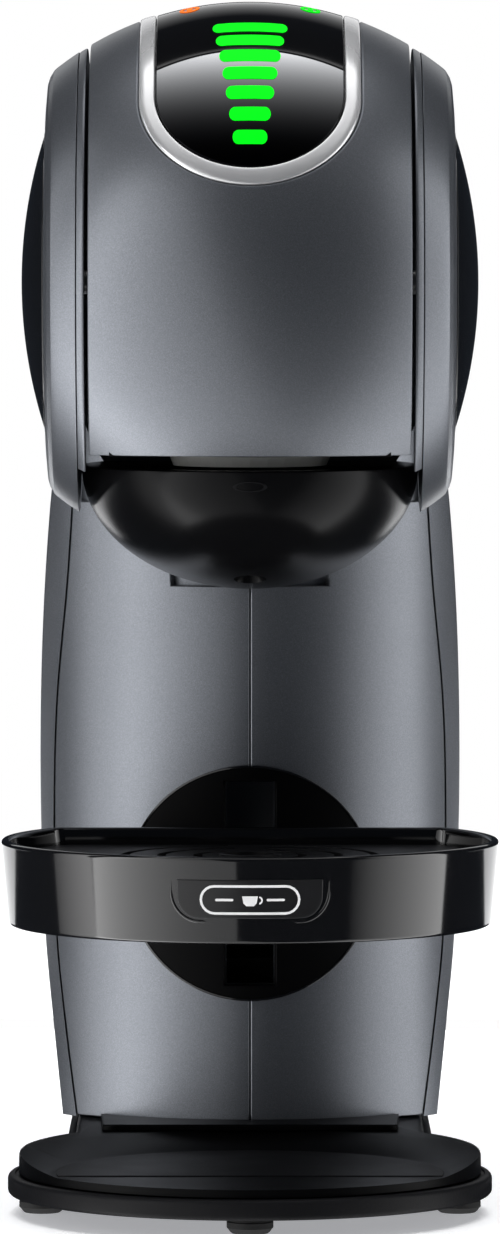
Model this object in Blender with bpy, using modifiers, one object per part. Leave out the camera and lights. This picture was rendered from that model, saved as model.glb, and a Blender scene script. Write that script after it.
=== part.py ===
"""Pod coffee machine: a drum-shaped head with a lift-up locking lever, a column with a sliding drip tray,
a round base and a lift-off water tank behind.

Run with: blender --background --python part.py
Metres, +Z up. The machine faces -Y. The origin is the middle of the footprint, on the surface it stands on.
"""

import math

import bmesh
import bpy
from mathutils import Matrix, Vector

# Driving dimensions -------------------------------------------------------------------------------
GAP = 0.0003  # between touching pieces
FRONT_Y = -0.1365
BACK_Y = 0.1365
BASE_BACK_Y = 0.1330

# Head: a crowned drum lying across the machine, turned about X
DRUM_Y = -0.050
DRUM_Z = 0.230
DRUM_RADIUS = 0.070
CROWN_RADIUS = 0.078
DRUM_HALF_WIDTH = 0.0508
DRUM_EDGE_RADIUS = 0.0495
SHELL = 0.003
LEVER_HALF_WIDTH = 0.0397
FLANGE_INSIDE = 0.0403
BAND_INSIDE = 0.0425
CHEEK_INSIDE = 0.0369
CHEEK_OUTSIDE = 0.0389
CHASSIS_HALF_WIDTH = 0.0363
CHASSIS_DEPTH = 0.0057
LEVER_EDGE_Z = 0.188
FLANGE_END_Z = 0.185
LEVER_BACK_ANGLE = 102.0
CAP_RADIUS = 0.0378
CAP_TOP = 0.0570
PIN_RADIUS = 0.003

# Display: a tongue with a half-round end in the lever, seen along this angle above the horizontal
TONGUE_ANGLE = 55.0
TONGUE_RADIUS = 0.0232
BEZEL_WIDTH = 0.0040
TONGUE_DROP = 0.0125  # centre of the half-round end below the drum's axis, across the viewing angle
DISPLAY_SPLIT_ANGLE = 55.0

# Capsule holder: the lower half of an ellipsoid
HOLDER_TOP_Z = 0.1846
HOLDER_HALF_WIDTH = 0.0421
HOLDER_HALF_LENGTH = 0.0540
HOLDER_DEPTH = 0.0311
HOLDER_BACK_Y = -0.024
CAPSULE_Y = -0.074
CAPSULE_RADIUS = 0.0245

# Column: its front is part of a vertical cylinder
COLUMN_RADIUS = 0.0586
COLUMN_FRONT_Y = -0.0270
COLUMN_AXIS_Y = COLUMN_FRONT_Y + COLUMN_RADIUS
COLUMN_WALL = 0.0025
COLUMN_BOTTOM_Z = 0.0162
BODY_BACK_Y = 0.0560
BODY_TOP_Z = 0.2620

# Base
FOOT_HEIGHT = 0.0049
BASE_RADIUS = 0.0600
BASE_Y = FRONT_Y + BASE_RADIUS
BASE_REAR_HALF_WIDTH = 0.0470
BASE_REAR_CORNER = 0.0220
BAND_TOP_Z = 0.0100
COVER_TOP_Z = 0.0159
COVER_INSET = 0.0027
RECESS_Y = -0.0986
RECESS_RADIUS = 0.0482
RECESS_Z = 0.0122

# Drip tray
TRAY_Y = -0.0740
TRAY_TOP_Z = 0.0927
TRAY_BOTTOM_Z = 0.0716
TRAY_TOP_RADIUS = 0.06165
TRAY_BOTTOM_RADIUS = 0.0597
TRAY_WALL = 0.0022
TRAY_BACK_Y = -0.0373
GRID_TOP_Z = 0.0885
GRID_THICKNESS = 0.0025
MOUNT_RADIUS = 0.0299
MOUNT_Z = 0.0778
MOUNT_THICKNESS = 0.0025

# Water tank
TANK_FRONT_Y = 0.0575
TANK_BACK_Y = 0.1325
TANK_HALF_WIDTH = 0.0445
TANK_CORNER = 0.0260
TANK_WALL = 0.0022
TANK_BOTTOM_Z = 0.0212
TANK_TOP_Z = 0.2400
TANK_Y = (TANK_FRONT_Y + TANK_BACK_Y) / 2
LID_TOP_Z = 0.2490
VALVE_Y = 0.0960


# Scene and helpers --------------------------------------------------------------------------------
def clear_scene():
    for obj in list(bpy.data.objects):
        bpy.data.objects.remove(obj, do_unlink=True)


def make_material(name, colour, roughness, metallic=0.0, alpha=1.0):
    made = bpy.data.materials.new(name)
    made.use_nodes = True
    shader = made.node_tree.nodes["Principled BSDF"]
    shader.inputs["Base Color"].default_value = (*colour, 1.0)
    shader.inputs["Roughness"].default_value = roughness
    shader.inputs["Metallic"].default_value = metallic
    shader.inputs["Alpha"].default_value = alpha
    return made


def make_materials():
    return {
        "grey": make_material("space_grey_paint", (0.17, 0.18, 0.20), 0.35, 0.6),
        "gloss": make_material("gloss_black", (0.008, 0.008, 0.009), 0.08),
        "matte": make_material("satin_black", (0.015, 0.015, 0.016), 0.4),
        "chrome": make_material("chrome", (0.75, 0.75, 0.76), 0.12, 1.0),
        "rubber": make_material("black_rubber", (0.02, 0.02, 0.02), 0.8),
        "smoke": make_material("smoked_plastic", (0.10, 0.11, 0.12), 0.1, 0.0, 0.5),
        "steel": make_material("steel", (0.6, 0.6, 0.6), 0.3, 1.0),
        "silicone": make_material("silicone", (0.75, 0.75, 0.72), 0.5),
        "board": make_material("circuit_board", (0.03, 0.17, 0.07), 0.5),
        "boiler": make_material("cast_aluminium", (0.6, 0.61, 0.62), 0.45, 1.0),
    }


def link(name, mesh):
    obj = bpy.data.objects.new(name, mesh)
    PARTS.objects.link(obj)
    return obj


def baked(obj):
    """The object with its modifiers applied, as a closed mesh that faces outwards, in place of the old one."""
    bpy.context.view_layer.update()
    graph = bpy.context.evaluated_depsgraph_get()
    mesh = bpy.data.meshes.new_from_object(obj.evaluated_get(graph))
    mesh.transform(obj.matrix_world)
    name = obj.name
    bpy.data.objects.remove(obj, do_unlink=True)
    shape = bmesh.new()
    shape.from_mesh(mesh)
    bmesh.ops.remove_doubles(shape, verts=shape.verts, dist=1e-6)
    edges = [edge for edge in shape.edges if edge.is_boundary]
    if edges:
        bmesh.ops.holes_fill(shape, edges=edges)
    bmesh.ops.recalc_face_normals(shape, faces=shape.faces)
    shape.to_mesh(mesh)
    shape.free()
    made = link(name, mesh)
    made.name = name
    return made


def combine(obj, operation, tools):
    for tool in tools:
        modifier = obj.modifiers.new(operation.lower(), "BOOLEAN")
        modifier.operation = operation
        modifier.solver = "EXACT"
        modifier.object = tool
    made = baked(obj)
    for tool in tools:
        bpy.data.objects.remove(tool, do_unlink=True)
    return made


def cut(obj, *tools):
    return combine(obj, "DIFFERENCE", tools)


def join(obj, *tools):
    return combine(obj, "UNION", tools)


def keep(obj, *tools):
    return combine(obj, "INTERSECT", tools)


def primitive(name, add, **settings):
    add(**settings)
    obj = bpy.context.object
    for collection in list(obj.users_collection):
        collection.objects.unlink(obj)
    PARTS.objects.link(obj)
    obj.name = name
    return obj


def box(name, low, high):
    low, high = Vector(low), Vector(high)
    obj = primitive(name, bpy.ops.mesh.primitive_cube_add, size=1, location=(low + high) / 2)
    obj.scale = high - low
    return baked(obj)


AXIS_TURNS = {"X": (0, math.pi / 2, 0), "Y": (-math.pi / 2, 0, 0), "Z": (0, 0, 0)}


def cone(name, start, end_distance, start_radius, end_radius, axis="Z", sides=48):
    """A cylinder or cone from a start point, running end_distance along an axis."""
    turn = AXIS_TURNS[axis]
    direction = Matrix.Rotation(turn[1], 3, "Y") @ Matrix.Rotation(turn[0], 3, "X") @ Vector((0, 0, 1))
    obj = primitive(
        name,
        bpy.ops.mesh.primitive_cone_add,
        vertices=sides,
        radius1=start_radius,
        radius2=end_radius,
        depth=end_distance,
        location=Vector(start) + direction * end_distance / 2,
        rotation=turn,
    )
    return baked(obj)


def cylinder(name, start, length, radius, axis="Z", sides=48):
    return cone(name, start, length, radius, radius, axis, sides)


def arc(centre, radius, start, end, steps):
    """Points on a circle from one angle to another, in degrees."""
    turns = [math.radians(start + (end - start) * i / steps) for i in range(steps + 1)]
    return [(centre[0] + radius * math.cos(a), centre[1] + radius * math.sin(a)) for a in turns]


def prism(name, outline, low, high, axis="Z"):
    """A flat outline, extruded from low to high along Z, or along Y with the outline in X and Z."""
    curve = bpy.data.curves.new(name, "CURVE")
    curve.dimensions = "2D"
    curve.fill_mode = "BOTH"
    curve.extrude = (high - low) / 2
    spline = curve.splines.new("POLY")
    spline.points.add(len(outline) - 1)
    for point, (u, v) in zip(spline.points, outline):
        point.co = (u, v, 0, 1)
    spline.use_cyclic_u = True
    obj = link(name, curve)
    middle = (low + high) / 2
    if axis == "Z":
        obj.location = (0, 0, middle)
    elif axis == "Y":
        obj.rotation_euler = (math.pi / 2, 0, 0)
        obj.location = (0, middle, 0)
    return baked(obj)


def turned(name, profile, centre, axis="X", start=0.0, sweep=360.0, steps=64, closed=True):
    """A profile of (along, radius) points turned about an axis. About X, start and sweep are degrees from
    straight up towards the front."""
    mesh = bpy.data.meshes.new(name)
    if axis == "X":
        points = [(along, 0, radius) for along, radius in profile]
    else:
        points = [(radius, 0, along) for along, radius in profile]
    last = len(points)
    edges = [(i, (i + 1) % last) for i in range(last if closed else last - 1)]
    mesh.from_pydata(points, edges, [])
    obj = link(name, mesh)
    screw = obj.modifiers.new("turn", "SCREW")
    screw.axis = axis
    screw.angle = math.radians(sweep)
    screw.steps = screw.render_steps = steps
    screw.use_merge_vertices = True
    screw.merge_threshold = 0.00001
    obj.location = centre
    if axis == "X":
        obj.rotation_euler = (math.radians(start), 0, 0)
    return baked(obj)


def tube(name, route, radius, steps=3):
    """A hose along a smooth curve through the route's points."""
    curve = bpy.data.curves.new(name, "CURVE")
    curve.dimensions = "3D"
    curve.bevel_depth = radius
    curve.bevel_resolution = 2
    curve.use_fill_caps = True
    spline = curve.splines.new("POLY")
    points = smooth_route([Vector(p) for p in route], steps)
    spline.points.add(len(points) - 1)
    for point, place in zip(spline.points, points):
        point.co = (*place, 1)
    return baked(link(name, curve))


def smooth_route(route, steps):
    """Catmull-Rom points through the route."""
    ends = [2 * route[0] - route[1], *route, 2 * route[-1] - route[-2]]
    points = []
    for a, b, c, d in zip(ends, ends[1:], ends[2:], ends[3:]):
        for i in range(steps):
            t = i / steps
            points.append(
                0.5 * (2 * b + (c - a) * t + (2 * a - 5 * b + 4 * c - d) * t**2 + (3 * b - a - 3 * c + d) * t**3)
            )
    return [*points, route[-1]]


def finish(obj, material):
    """Gives a part its material and its shading. The object's origin goes to the middle of its box."""
    obj.data.materials.clear()
    obj.data.materials.append(material)
    obj.data.shade_smooth()
    obj.data.set_sharp_from_angle(angle=math.radians(30))
    return obj


def hinged(obj, pivot):
    """Puts a moving part's origin on its joint's axis, and leaves its shape where it is."""
    obj.data.transform(Matrix.Translation(-Vector(pivot)))
    obj.location = pivot
    return obj


# The drum ------------------------------------------------------------------------------------------
def drum_radius(x):
    return DRUM_RADIUS - CROWN_RADIUS + math.sqrt(CROWN_RADIUS**2 - x**2)


def spread(first, last, count):
    return [first + (last - first) * i / (count - 1) for i in range(count)]


def drum_sector(name, half_width, outer, inner, top, bottom, steps=16, count=9):
    """A piece of the drum's wall between two depths, from one angle above the horizontal to another."""
    xs = spread(-half_width, half_width, count)
    profile = [(x, drum_radius(x) - outer) for x in xs]
    profile += [(x, drum_radius(x) - inner) for x in reversed(xs)]
    return turned(name, profile, (0, DRUM_Y, DRUM_Z), start=90 - top, sweep=top - bottom, steps=steps)


def drum_solid(name, half_width, growth, steps=48, count=9):
    """The whole drum as one solid, grown by a gap, for cutting its neighbours."""
    profile = [(x, drum_radius(x) + growth) for x in spread(-half_width, half_width, count)]
    profile = [(-half_width, 0), *profile, (half_width, 0)]
    return turned(name, profile, (0, DRUM_Y, DRUM_Z), steps=steps, closed=False)


def side_band(name, side):
    """One grey side of the head: its crowned rim and its side face, with the round opening for the cap."""
    rim = [(x, drum_radius(x)) for x in spread(BAND_INSIDE, 0.0488, 3)]
    corner = [(0.0502, 0.0516), (DRUM_HALF_WIDTH, DRUM_EDGE_RADIUS)]
    face = [(DRUM_HALF_WIDTH, CAP_RADIUS + GAP), (0.0483, CAP_RADIUS + GAP), (0.0483, 0.0478)]
    inside = [(x, drum_radius(x) - SHELL) for x in (0.0462, FLANGE_INSIDE)]
    flange = [(FLANGE_INSIDE, drum_radius(FLANGE_INSIDE) - 0.001), (BAND_INSIDE, drum_radius(BAND_INSIDE) - 0.001)]
    profile = [(side * x, r) for x, r in rim + corner + face + inside + flange]
    band = turned(name, profile, (0, DRUM_Y, DRUM_Z), steps=44)
    reach = BAND_INSIDE - 0.0001
    return cut(band, box("flange_cut", (-reach, -0.2, 0.1), (reach, 0.0, FLANGE_END_Z)))


def side_cap(name, side):
    """The black domed cap in the head's side."""
    rise = CAP_TOP - DRUM_HALF_WIDTH
    dome = (CAP_RADIUS**2 + rise**2) / (2 * rise)
    curve = [(CAP_TOP - dome + math.sqrt(dome**2 - r**2), r) for r in spread(0, CAP_RADIUS - 0.0002, 5)]
    profile = [*curve, (0.0490, CAP_RADIUS - 0.0002), (0.0490, 0)]
    profile = [(side * x, r) for x, r in profile]
    return turned(name, profile, (0, DRUM_Y, DRUM_Z), steps=36, closed=False)


def tongue_prism(name, radius, reach=0.12, start=0.0):
    """The display's outline, straight sides and a half-round lower end, as a prism along the viewing angle."""
    lower = arc((0, -TONGUE_DROP), radius, 180, 360, 18)
    outline = [*lower, (radius, 0.09), (-radius, 0.09)]
    obj = prism(name, outline, start, reach)
    turn = Matrix.Rotation(math.radians(90 - TONGUE_ANGLE), 4, "X")
    obj.data.transform(Matrix.Translation((0, DRUM_Y, DRUM_Z)) @ turn)
    return obj


def make_lever(mats):
    back = LEVER_BACK_ANGLE
    shell = drum_sector("lever_shell", LEVER_HALF_WIDTH, 0.0, SHELL, back, -44, steps=24)
    below = box("edge_cut", (-0.06, -0.2, 0.1), (0.06, 0.05, LEVER_EDGE_Z))
    shell = cut(shell, below, tongue_prism("u_cut", TONGUE_RADIUS + BEZEL_WIDTH + GAP, start=0.02))
    finish(shell, mats["grey"])

    bezel_wall = drum_sector("display_bezel", 0.030, -0.0004, 0.0034, back, 12, steps=16, count=7)
    bezel = keep(bezel_wall, tongue_prism("bezel_out", TONGUE_RADIUS + BEZEL_WIDTH, start=0.02))
    bezel = cut(bezel, tongue_prism("bezel_in", TONGUE_RADIUS + GAP, start=0.02))
    finish(bezel, mats["chrome"])

    lower = drum_sector("display_front", 0.026, 0.0, 0.0024, DISPLAY_SPLIT_ANGLE - 0.15, 12, steps=8, count=7)
    lower = keep(lower, tongue_prism("front_out", TONGUE_RADIUS, start=0.02))
    finish(lower, mats["gloss"])
    upper = drum_sector("display_top", TONGUE_RADIUS, 0.0, 0.0024, back, DISPLAY_SPLIT_ANGLE + 0.15, steps=8, count=7)
    finish(upper, mats["gloss"])

    board = drum_sector("touch_board", 0.019, 0.0029, 0.0041, back - 3, 33, steps=10, count=5)
    finish(board, mats["board"])

    frame = make_lever_frame(mats)
    parts = [shell, bezel, lower, upper, board, frame]
    return [hinged(part, (0, DRUM_Y, DRUM_Z)) for part in parts]


def make_lever_frame(mats):
    """Two cheeks that run from the hinge hubs to the shell, joined by a bar behind the lever's front."""
    depth = SHELL + GAP + 0.0002
    frame = drum_sector("lever_frame", CHEEK_OUTSIDE, depth, depth + 0.0016, 16, -12, steps=4, count=7)
    for side in (-1, 1):
        fan = arc((0, 0), drum_radius(CHEEK_OUTSIDE) - depth - 0.0001, -28, LEVER_BACK_ANGLE - 2, 12)
        outline = [(-r * 1.0, z) for r, z in fan] + arc((0, 0), 0.009, 70, -10, 6)
        cheek = prism(f"cheek_{side}", outline, CHEEK_INSIDE, CHEEK_OUTSIDE)
        stand = Matrix(((0, 0, side, 0), (1, 0, 0, DRUM_Y), (0, 1, 0, DRUM_Z), (0, 0, 0, 1)))
        cheek.data.transform(stand)
        hub = cylinder(f"hub_{side}", (side * CHEEK_INSIDE, DRUM_Y, DRUM_Z), 0.002, 0.0095, "X")
        if side < 0:
            hub.data.transform(Matrix.Translation((-0.002, 0, 0)))
        frame = join(frame, baked(cheek))
        frame = join(frame, hub)
    bore = cylinder("hub_bore", (-0.05, DRUM_Y, DRUM_Z), 0.1, PIN_RADIUS + GAP, "X", 32)
    return finish(cut(frame, bore), mats["matte"])


# Head ----------------------------------------------------------------------------------------------
def make_head(mats):
    for word, side in (("left", -1), ("right", 1)):
        finish(side_band(f"side_band_{word}", side), mats["grey"])
        finish(side_cap(f"side_cap_{word}", side), mats["gloss"])
        start = 0.0312 if side > 0 else -0.0488
        finish(cylinder(f"pivot_pin_{word}", (start, DRUM_Y, DRUM_Z), 0.0176, PIN_RADIUS, "X", 24), mats["steel"])
    make_chassis(mats)


def make_chassis(mats):
    """The fixed inner drum that the lever turns over, with the plate above the capsule and its opening."""
    chassis = drum_sector("head_chassis", CHASSIS_HALF_WIDTH, CHASSIS_DEPTH, CHASSIS_DEPTH + 0.0022, 172, -46, steps=20, count=5)
    trim = box("chassis_cut", (-0.06, -0.2, 0.1), (0.06, -0.020, LEVER_EDGE_Z))
    chassis = cut(chassis, trim)
    wall_radius = drum_radius(CHASSIS_HALF_WIDTH) - CHASSIS_DEPTH - 0.0004
    for side in (-1, 1):
        fan = arc((0, 0), wall_radius, -36.0, 172, 20)
        outline = [(-u, v) for u, v in fan] + [(0.024, -0.0300), (0.006, -0.0420)]
        wall = prism(f"chassis_wall_{side}", outline, 0.0340, CHASSIS_HALF_WIDTH - 0.0001)
        wall.data.transform(Matrix(((0, 0, side, 0), (1, 0, 0, DRUM_Y), (0, 1, 0, DRUM_Z), (0, 0, 0, 1))))
        chassis = join(chassis, baked(wall))
    floor = box("chassis_floor", (-0.0345, -0.0965, LEVER_EDGE_Z), (0.0345, -0.0440, LEVER_EDGE_Z + 0.0022))
    floor = keep(floor, drum_solid("floor_shape", 0.036, -CHASSIS_DEPTH - 0.001))
    floor = cut(floor, cylinder("floor_hole", (0, CAPSULE_Y, 0.18), 0.03, 0.0210))
    chassis = join(chassis, floor)
    pins = cylinder("pin_bore", (-0.05, DRUM_Y, DRUM_Z), 0.1, PIN_RADIUS + GAP, "X", 32)
    finish(cut(chassis, pins), mats["matte"])


def make_needle_plate(mats):
    plate = cylinder("needle_plate", (0, CAPSULE_Y, LEVER_EDGE_Z), 0.0030, 0.0206)
    boss = cylinder("plate_boss", (0, CAPSULE_Y, LEVER_EDGE_Z + 0.0028), 0.0080, 0.0060, sides=32)
    plate = join(plate, boss)
    plate = cut(plate, cylinder("needle_seat", (0, CAPSULE_Y, 0.18), 0.0160, 0.0013, sides=20))
    seal_profile = [(0.1877, 0.0160), (0.1877, 0.0200), (0.1852, 0.0190), (0.1852, 0.0172)]
    seal = turned("plate_seal", seal_profile, (0, CAPSULE_Y, 0), "Z", steps=28)
    needle = cylinder("piercing_needle", (0, CAPSULE_Y, 0.1872), 0.0080, 0.0010, sides=16)
    needle = join(needle, cone("needle_tip", (0, CAPSULE_Y, 0.1850), 0.0023, 0.0001, 0.0010, sides=16))
    return [finish(plate, mats["matte"]), finish(seal, mats["silicone"]), finish(needle, mats["steel"])]


def make_capsule_holder(mats):
    ball = primitive(
        "capsule_holder",
        bpy.ops.mesh.primitive_uv_sphere_add,
        segments=36,
        ring_count=18,
        radius=1,
        location=(0, DRUM_Y, HOLDER_TOP_Z),
    )
    ball.scale = (HOLDER_HALF_WIDTH, HOLDER_HALF_LENGTH, HOLDER_DEPTH)
    holder = keep(baked(ball), box("holder_half", (-0.05, -0.12, 0.14), (0.05, HOLDER_BACK_Y, HOLDER_TOP_Z)))
    seat = cylinder("capsule_seat", (0, CAPSULE_Y, 0.1720), 0.0200, CAPSULE_RADIUS)
    taper = cone("capsule_taper", (0, CAPSULE_Y, 0.1640), 0.0081, 0.0105, CAPSULE_RADIUS)
    outlet = cylinder("capsule_outlet", (0, CAPSULE_Y, 0.1500), 0.0200, 0.0040, sides=24)
    return finish(cut(holder, join(join(seat, taper), outlet)), mats["gloss"])


# Column --------------------------------------------------------------------------------------------
# Half the body's width at each height, as the front shows it, and half the front cover's
BODY_WIDTHS = [
    (0.0480, COLUMN_BOTTOM_Z), (0.0505, 0.040), (0.0524, 0.059), (0.0536, 0.085), (0.0539, 0.112), (0.0529, 0.148),
    (0.0514, 0.170), (0.0500, 0.185), (0.0478, 0.225), (0.0464, 0.252), (0.0445, 0.258), (0.0400, 0.262),
]  # fmt: skip
COVER_WIDTHS = [
    (0.0442, COLUMN_BOTTOM_Z), (0.0470, 0.038), (0.0494, 0.061), (0.0501, 0.090), (0.0495, 0.120), (0.0463, 0.157),
    (0.0452, 0.174),
]  # fmt: skip


def column_plan(inset):
    radius = COLUMN_RADIUS - inset
    front = arc((0, COLUMN_AXIS_Y), radius, 0, -180, 36)
    corner = 0.014
    across = radius - corner
    back = BODY_BACK_Y - inset - corner
    left = arc((-across, back), corner, 180, 90, 6)
    right = arc((across, back), corner, 90, 0, 6)
    return front + left + right


def column_block(name, inset, low, high):
    widths = [(w - inset, min(z, BODY_TOP_Z - inset)) for w, z in BODY_WIDTHS]
    widths[0] = (widths[0][0], low)
    outline = widths + [(-w, z) for w, z in reversed(widths)]
    block = prism(name, column_plan(inset), low - 0.001, high)
    return keep(block, prism(f"{name}_front", outline, -0.06, 0.08, "Y"))


def cover_region(name, grow):
    widths = [(w + grow, z) for w, z in COVER_WIDTHS]
    widths[0] = (widths[0][0], COLUMN_BOTTOM_Z - 0.002)
    widths[-1] = (widths[-1][0], widths[-1][1] + grow)
    outline = widths + [(-w, z) for w, z in reversed(widths)]
    return prism(name, outline, -0.060, 0.0075, "Y")


def make_column(mats):
    shell = column_block("rear_housing", 0.0, COLUMN_BOTTOM_Z, BODY_TOP_Z)
    inside = column_block("inside", COLUMN_WALL, COLUMN_BOTTOM_Z - 0.01, BODY_TOP_Z - COLUMN_WALL)
    shell = cut(shell, inside, drum_solid("drum_gap", 0.0514, 0.0007, steps=56, count=15))
    holder_room = box("holder_room", (-0.0425, -0.06, 0.1532), (0.0425, HOLDER_BACK_Y + 0.0006, 0.19))
    shell = cut(shell, holder_room)
    covers = keep(copied(shell, "covers"), cover_region("cover_out", 0.0))
    slot = box("tray_slot", (-0.0062, -0.04, 0.0520), (0.0062, -0.01, 0.1036))
    covers = cut(covers, slot)
    for word, low, high in (("left", -0.06, -0.00015), ("right", 0.00015, 0.06)):
        half = box(f"half_{word}", (low, -0.06, 0.0), (high, 0.02, 0.2))
        finish(keep(copied(covers, f"column_front_{word}"), half), mats["grey"])
    bpy.data.objects.remove(covers, do_unlink=True)
    shell = cut(shell, cover_region("cover_hole", GAP))
    finish(shell, mats["grey"])
    make_tray_mount(mats)


def copied(obj, name):
    made = obj.copy()
    made.data = obj.data.copy()
    PARTS.objects.link(made)
    made.name = name
    return made


def make_tray_mount(mats):
    """A round plate that hugs the column, with the slot that the tray's bracket slides in."""
    disc = cylinder("tray_mount", (0, -0.045, MOUNT_Z), 0.040, MOUNT_RADIUS, "Y")
    outer = cylinder("mount_out", (0, COLUMN_AXIS_Y, 0.02), 0.12, COLUMN_RADIUS + GAP + MOUNT_THICKNESS, sides=96)
    inner = cylinder("mount_in", (0, COLUMN_AXIS_Y, 0.01), 0.14, COLUMN_RADIUS + GAP, sides=96)
    disc = cut(keep(disc, outer), inner)
    disc = cut(disc, box("mount_slot", (-0.0062, -0.05, 0.0520), (0.0062, -0.01, 0.1036)))
    return finish(disc, mats["matte"])


# Base ----------------------------------------------------------------------------------------------
def base_plan(inset):
    """A round front with a narrower, round-cornered tail."""
    radius = BASE_RADIUS - inset
    half = BASE_REAR_HALF_WIDTH - inset
    corner = BASE_REAR_CORNER
    reach = math.degrees(math.acos(half / radius))
    front = arc((0, BASE_Y), radius, 180 - reach, 360 + reach, 56)
    right = arc((half - corner, BASE_BACK_Y - inset - corner), corner, 0, 90, 8)
    left = arc((corner - half, BASE_BACK_Y - inset - corner), corner, 90, 180, 8)
    return front + right + left


def make_base(mats):
    notch = ((0.0195, 0.1240, 0.0070), (0.0305, 0.1400, 0.0200))
    band = prism("base_band", base_plan(0.0), FOOT_HEIGHT, BAND_TOP_Z)
    finish(cut(band, box("band_notch", *notch)), mats["matte"])
    cover = prism("base_cover", base_plan(COVER_INSET), BAND_TOP_Z + GAP, COVER_TOP_Z)
    slope = (0.0615 - RECESS_RADIUS) / (COVER_TOP_Z - RECESS_Z)
    rise = COVER_TOP_Z + 0.001 - RECESS_Z
    bowl = cone("recess", (0, RECESS_Y, RECESS_Z), rise, RECESS_RADIUS, RECESS_RADIUS + slope * rise, sides=72)
    finish(cut(cover, bowl, box("cover_notch", *notch)), mats["gloss"])
    tongue = prism("base_tongue", [(-0.038, 0.0), (-0.038, -0.040), (0.038, -0.040), (0.038, 0.0)], 0.0162, 0.0176)
    finish(cut(tongue, cylinder("tongue_cut", (0, COLUMN_AXIS_Y, 0.0), 0.05, COLUMN_RADIUS + GAP)), mats["matte"])
    make_feet_and_screws(mats)
    gland = box("cord_gland", (0.0200, 0.1245, 0.0104), (0.0300, 0.1320, 0.0190))
    gland = join(gland, cone("gland_nose", (0.0250, 0.1310, 0.0147), BACK_Y - 0.1310, 0.0040, 0.0032, "Y", 20))
    bore = cylinder("gland_bore", (0.0250, 0.1260, 0.0147), 0.0200, 0.0024, "Y", 16)
    finish(cut(gland, bore), mats["rubber"])


def make_feet_and_screws(mats):
    feet = {
        "front": (0.0, -0.1190),
        "left": (-0.0515, -0.0765),
        "right": (0.0515, -0.0765),
        "rear_left": (-0.0340, 0.1120),
        "rear_right": (0.0340, 0.1120),
    }
    for word, (x, y) in feet.items():
        low = cone(f"foot_{word}", (x, y, 0.0), 0.0010, 0.0050, 0.0057, sides=20)
        finish(join(low, cylinder("foot_top", (x, y, 0.0009), FOOT_HEIGHT - GAP - 0.0009, 0.0057, sides=20)), mats["rubber"])
    for number, (x, y) in enumerate([(-0.040, -0.030), (0.040, -0.030), (-0.036, 0.080), (0.036, 0.080)], 1):
        head = cone(f"base_screw_{number}", (x, y, 0.0030), FOOT_HEIGHT - GAP - 0.0030, 0.0026, 0.0032, sides=12)
        drive = box("drive", (x - 0.0018, y - 0.0004, 0.0020), (x + 0.0018, y + 0.0004, 0.0038))
        cross = box("cross", (x - 0.0004, y - 0.0018, 0.0020), (x + 0.0004, y + 0.0018, 0.0038))
        finish(cut(head, join(drive, cross)), mats["steel"])


# Drip tray -----------------------------------------------------------------------------------------
def make_tray(mats):
    height = TRAY_TOP_Z - TRAY_BOTTOM_Z
    flare = (TRAY_TOP_RADIUS - TRAY_BOTTOM_RADIUS) / height
    tray = cone("drip_tray", (0, TRAY_Y, TRAY_BOTTOM_Z), height, TRAY_BOTTOM_RADIUS, TRAY_TOP_RADIUS, sides=80)
    tray = cut(tray, box("tray_back", (-0.08, TRAY_BACK_Y, 0.06), (0.08, 0.05, 0.1)))
    ledge_z = GRID_TOP_Z - GRID_THICKNESS - GAP
    floor_z = TRAY_BOTTOM_Z + TRAY_WALL
    tray = cut(tray, tray_hollow("tray_high", ledge_z, TRAY_TOP_Z + 0.002, TRAY_WALL, flare))
    tray = cut(tray, tray_hollow("tray_low", floor_z, ledge_z + 0.001, 0.0042, flare))
    block = box("socket_block", (-0.0130, -0.0500, floor_z - 0.0005), (0.0130, TRAY_BACK_Y - 0.001, 0.0830))
    tray = join(tray, block)
    for side in (-1, 1):
        tray = cut(tray, cylinder("socket", (side * 0.0080, -0.0480, MOUNT_Z), 0.02, 0.0026, "Y", 20))
    finish(tray, mats["gloss"])
    make_grid(mats, flare)
    make_bracket(mats)


def tray_hollow(name, low, high, wall, flare):
    radius = TRAY_BOTTOM_RADIUS + flare * (low - TRAY_BOTTOM_Z) - wall
    room = cone(name, (0, TRAY_Y, low), high - low, radius, radius + flare * (high - low), sides=80)
    return cut(room, box("room_back", (-0.08, TRAY_BACK_Y - wall, 0.06), (0.08, 0.05, 0.12)))


def make_grid(mats, flare):
    low = GRID_TOP_Z - GRID_THICKNESS
    radius = TRAY_BOTTOM_RADIUS + flare * (low - TRAY_BOTTOM_Z) - TRAY_WALL - 0.0004
    grid = cylinder("drip_grid", (0, TRAY_Y, low), GRID_THICKNESS, radius, sides=72)
    grid = cut(grid, box("grid_back", (-0.08, TRAY_BACK_Y - TRAY_WALL - 0.0004, 0.06), (0.08, 0.05, 0.1)))
    slots = []
    for ring, (radius, starts, sweep) in enumerate(
        [(0.013, (100, 280), 160), (0.022, (100, 280), 160), (0.031, (100, 280), 160), (0.040, (190,), 160)]
    ):
        for start in starts:
            half = 0.0011
            profile = [(low - 0.002, radius - half), (low - 0.002, radius + half)]
            profile += [(GRID_TOP_Z + 0.002, radius + half), (GRID_TOP_Z + 0.002, radius - half)]
            slot = turned(f"slot_{ring}_{start}", profile, (0, 0, 0), "Z", sweep=sweep, steps=12)
            slot.data.transform(Matrix.Translation((0, TRAY_Y, 0)) @ Matrix.Rotation(math.radians(start), 4, "Z"))
            slots.append(slot)
    slots.append(cylinder("finger_hole", (0, TRAY_Y, low - 0.002), 0.01, 0.0060, sides=24))
    for slot in slots:
        grid = cut(grid, slot)
    return finish(grid, mats["matte"])


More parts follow.
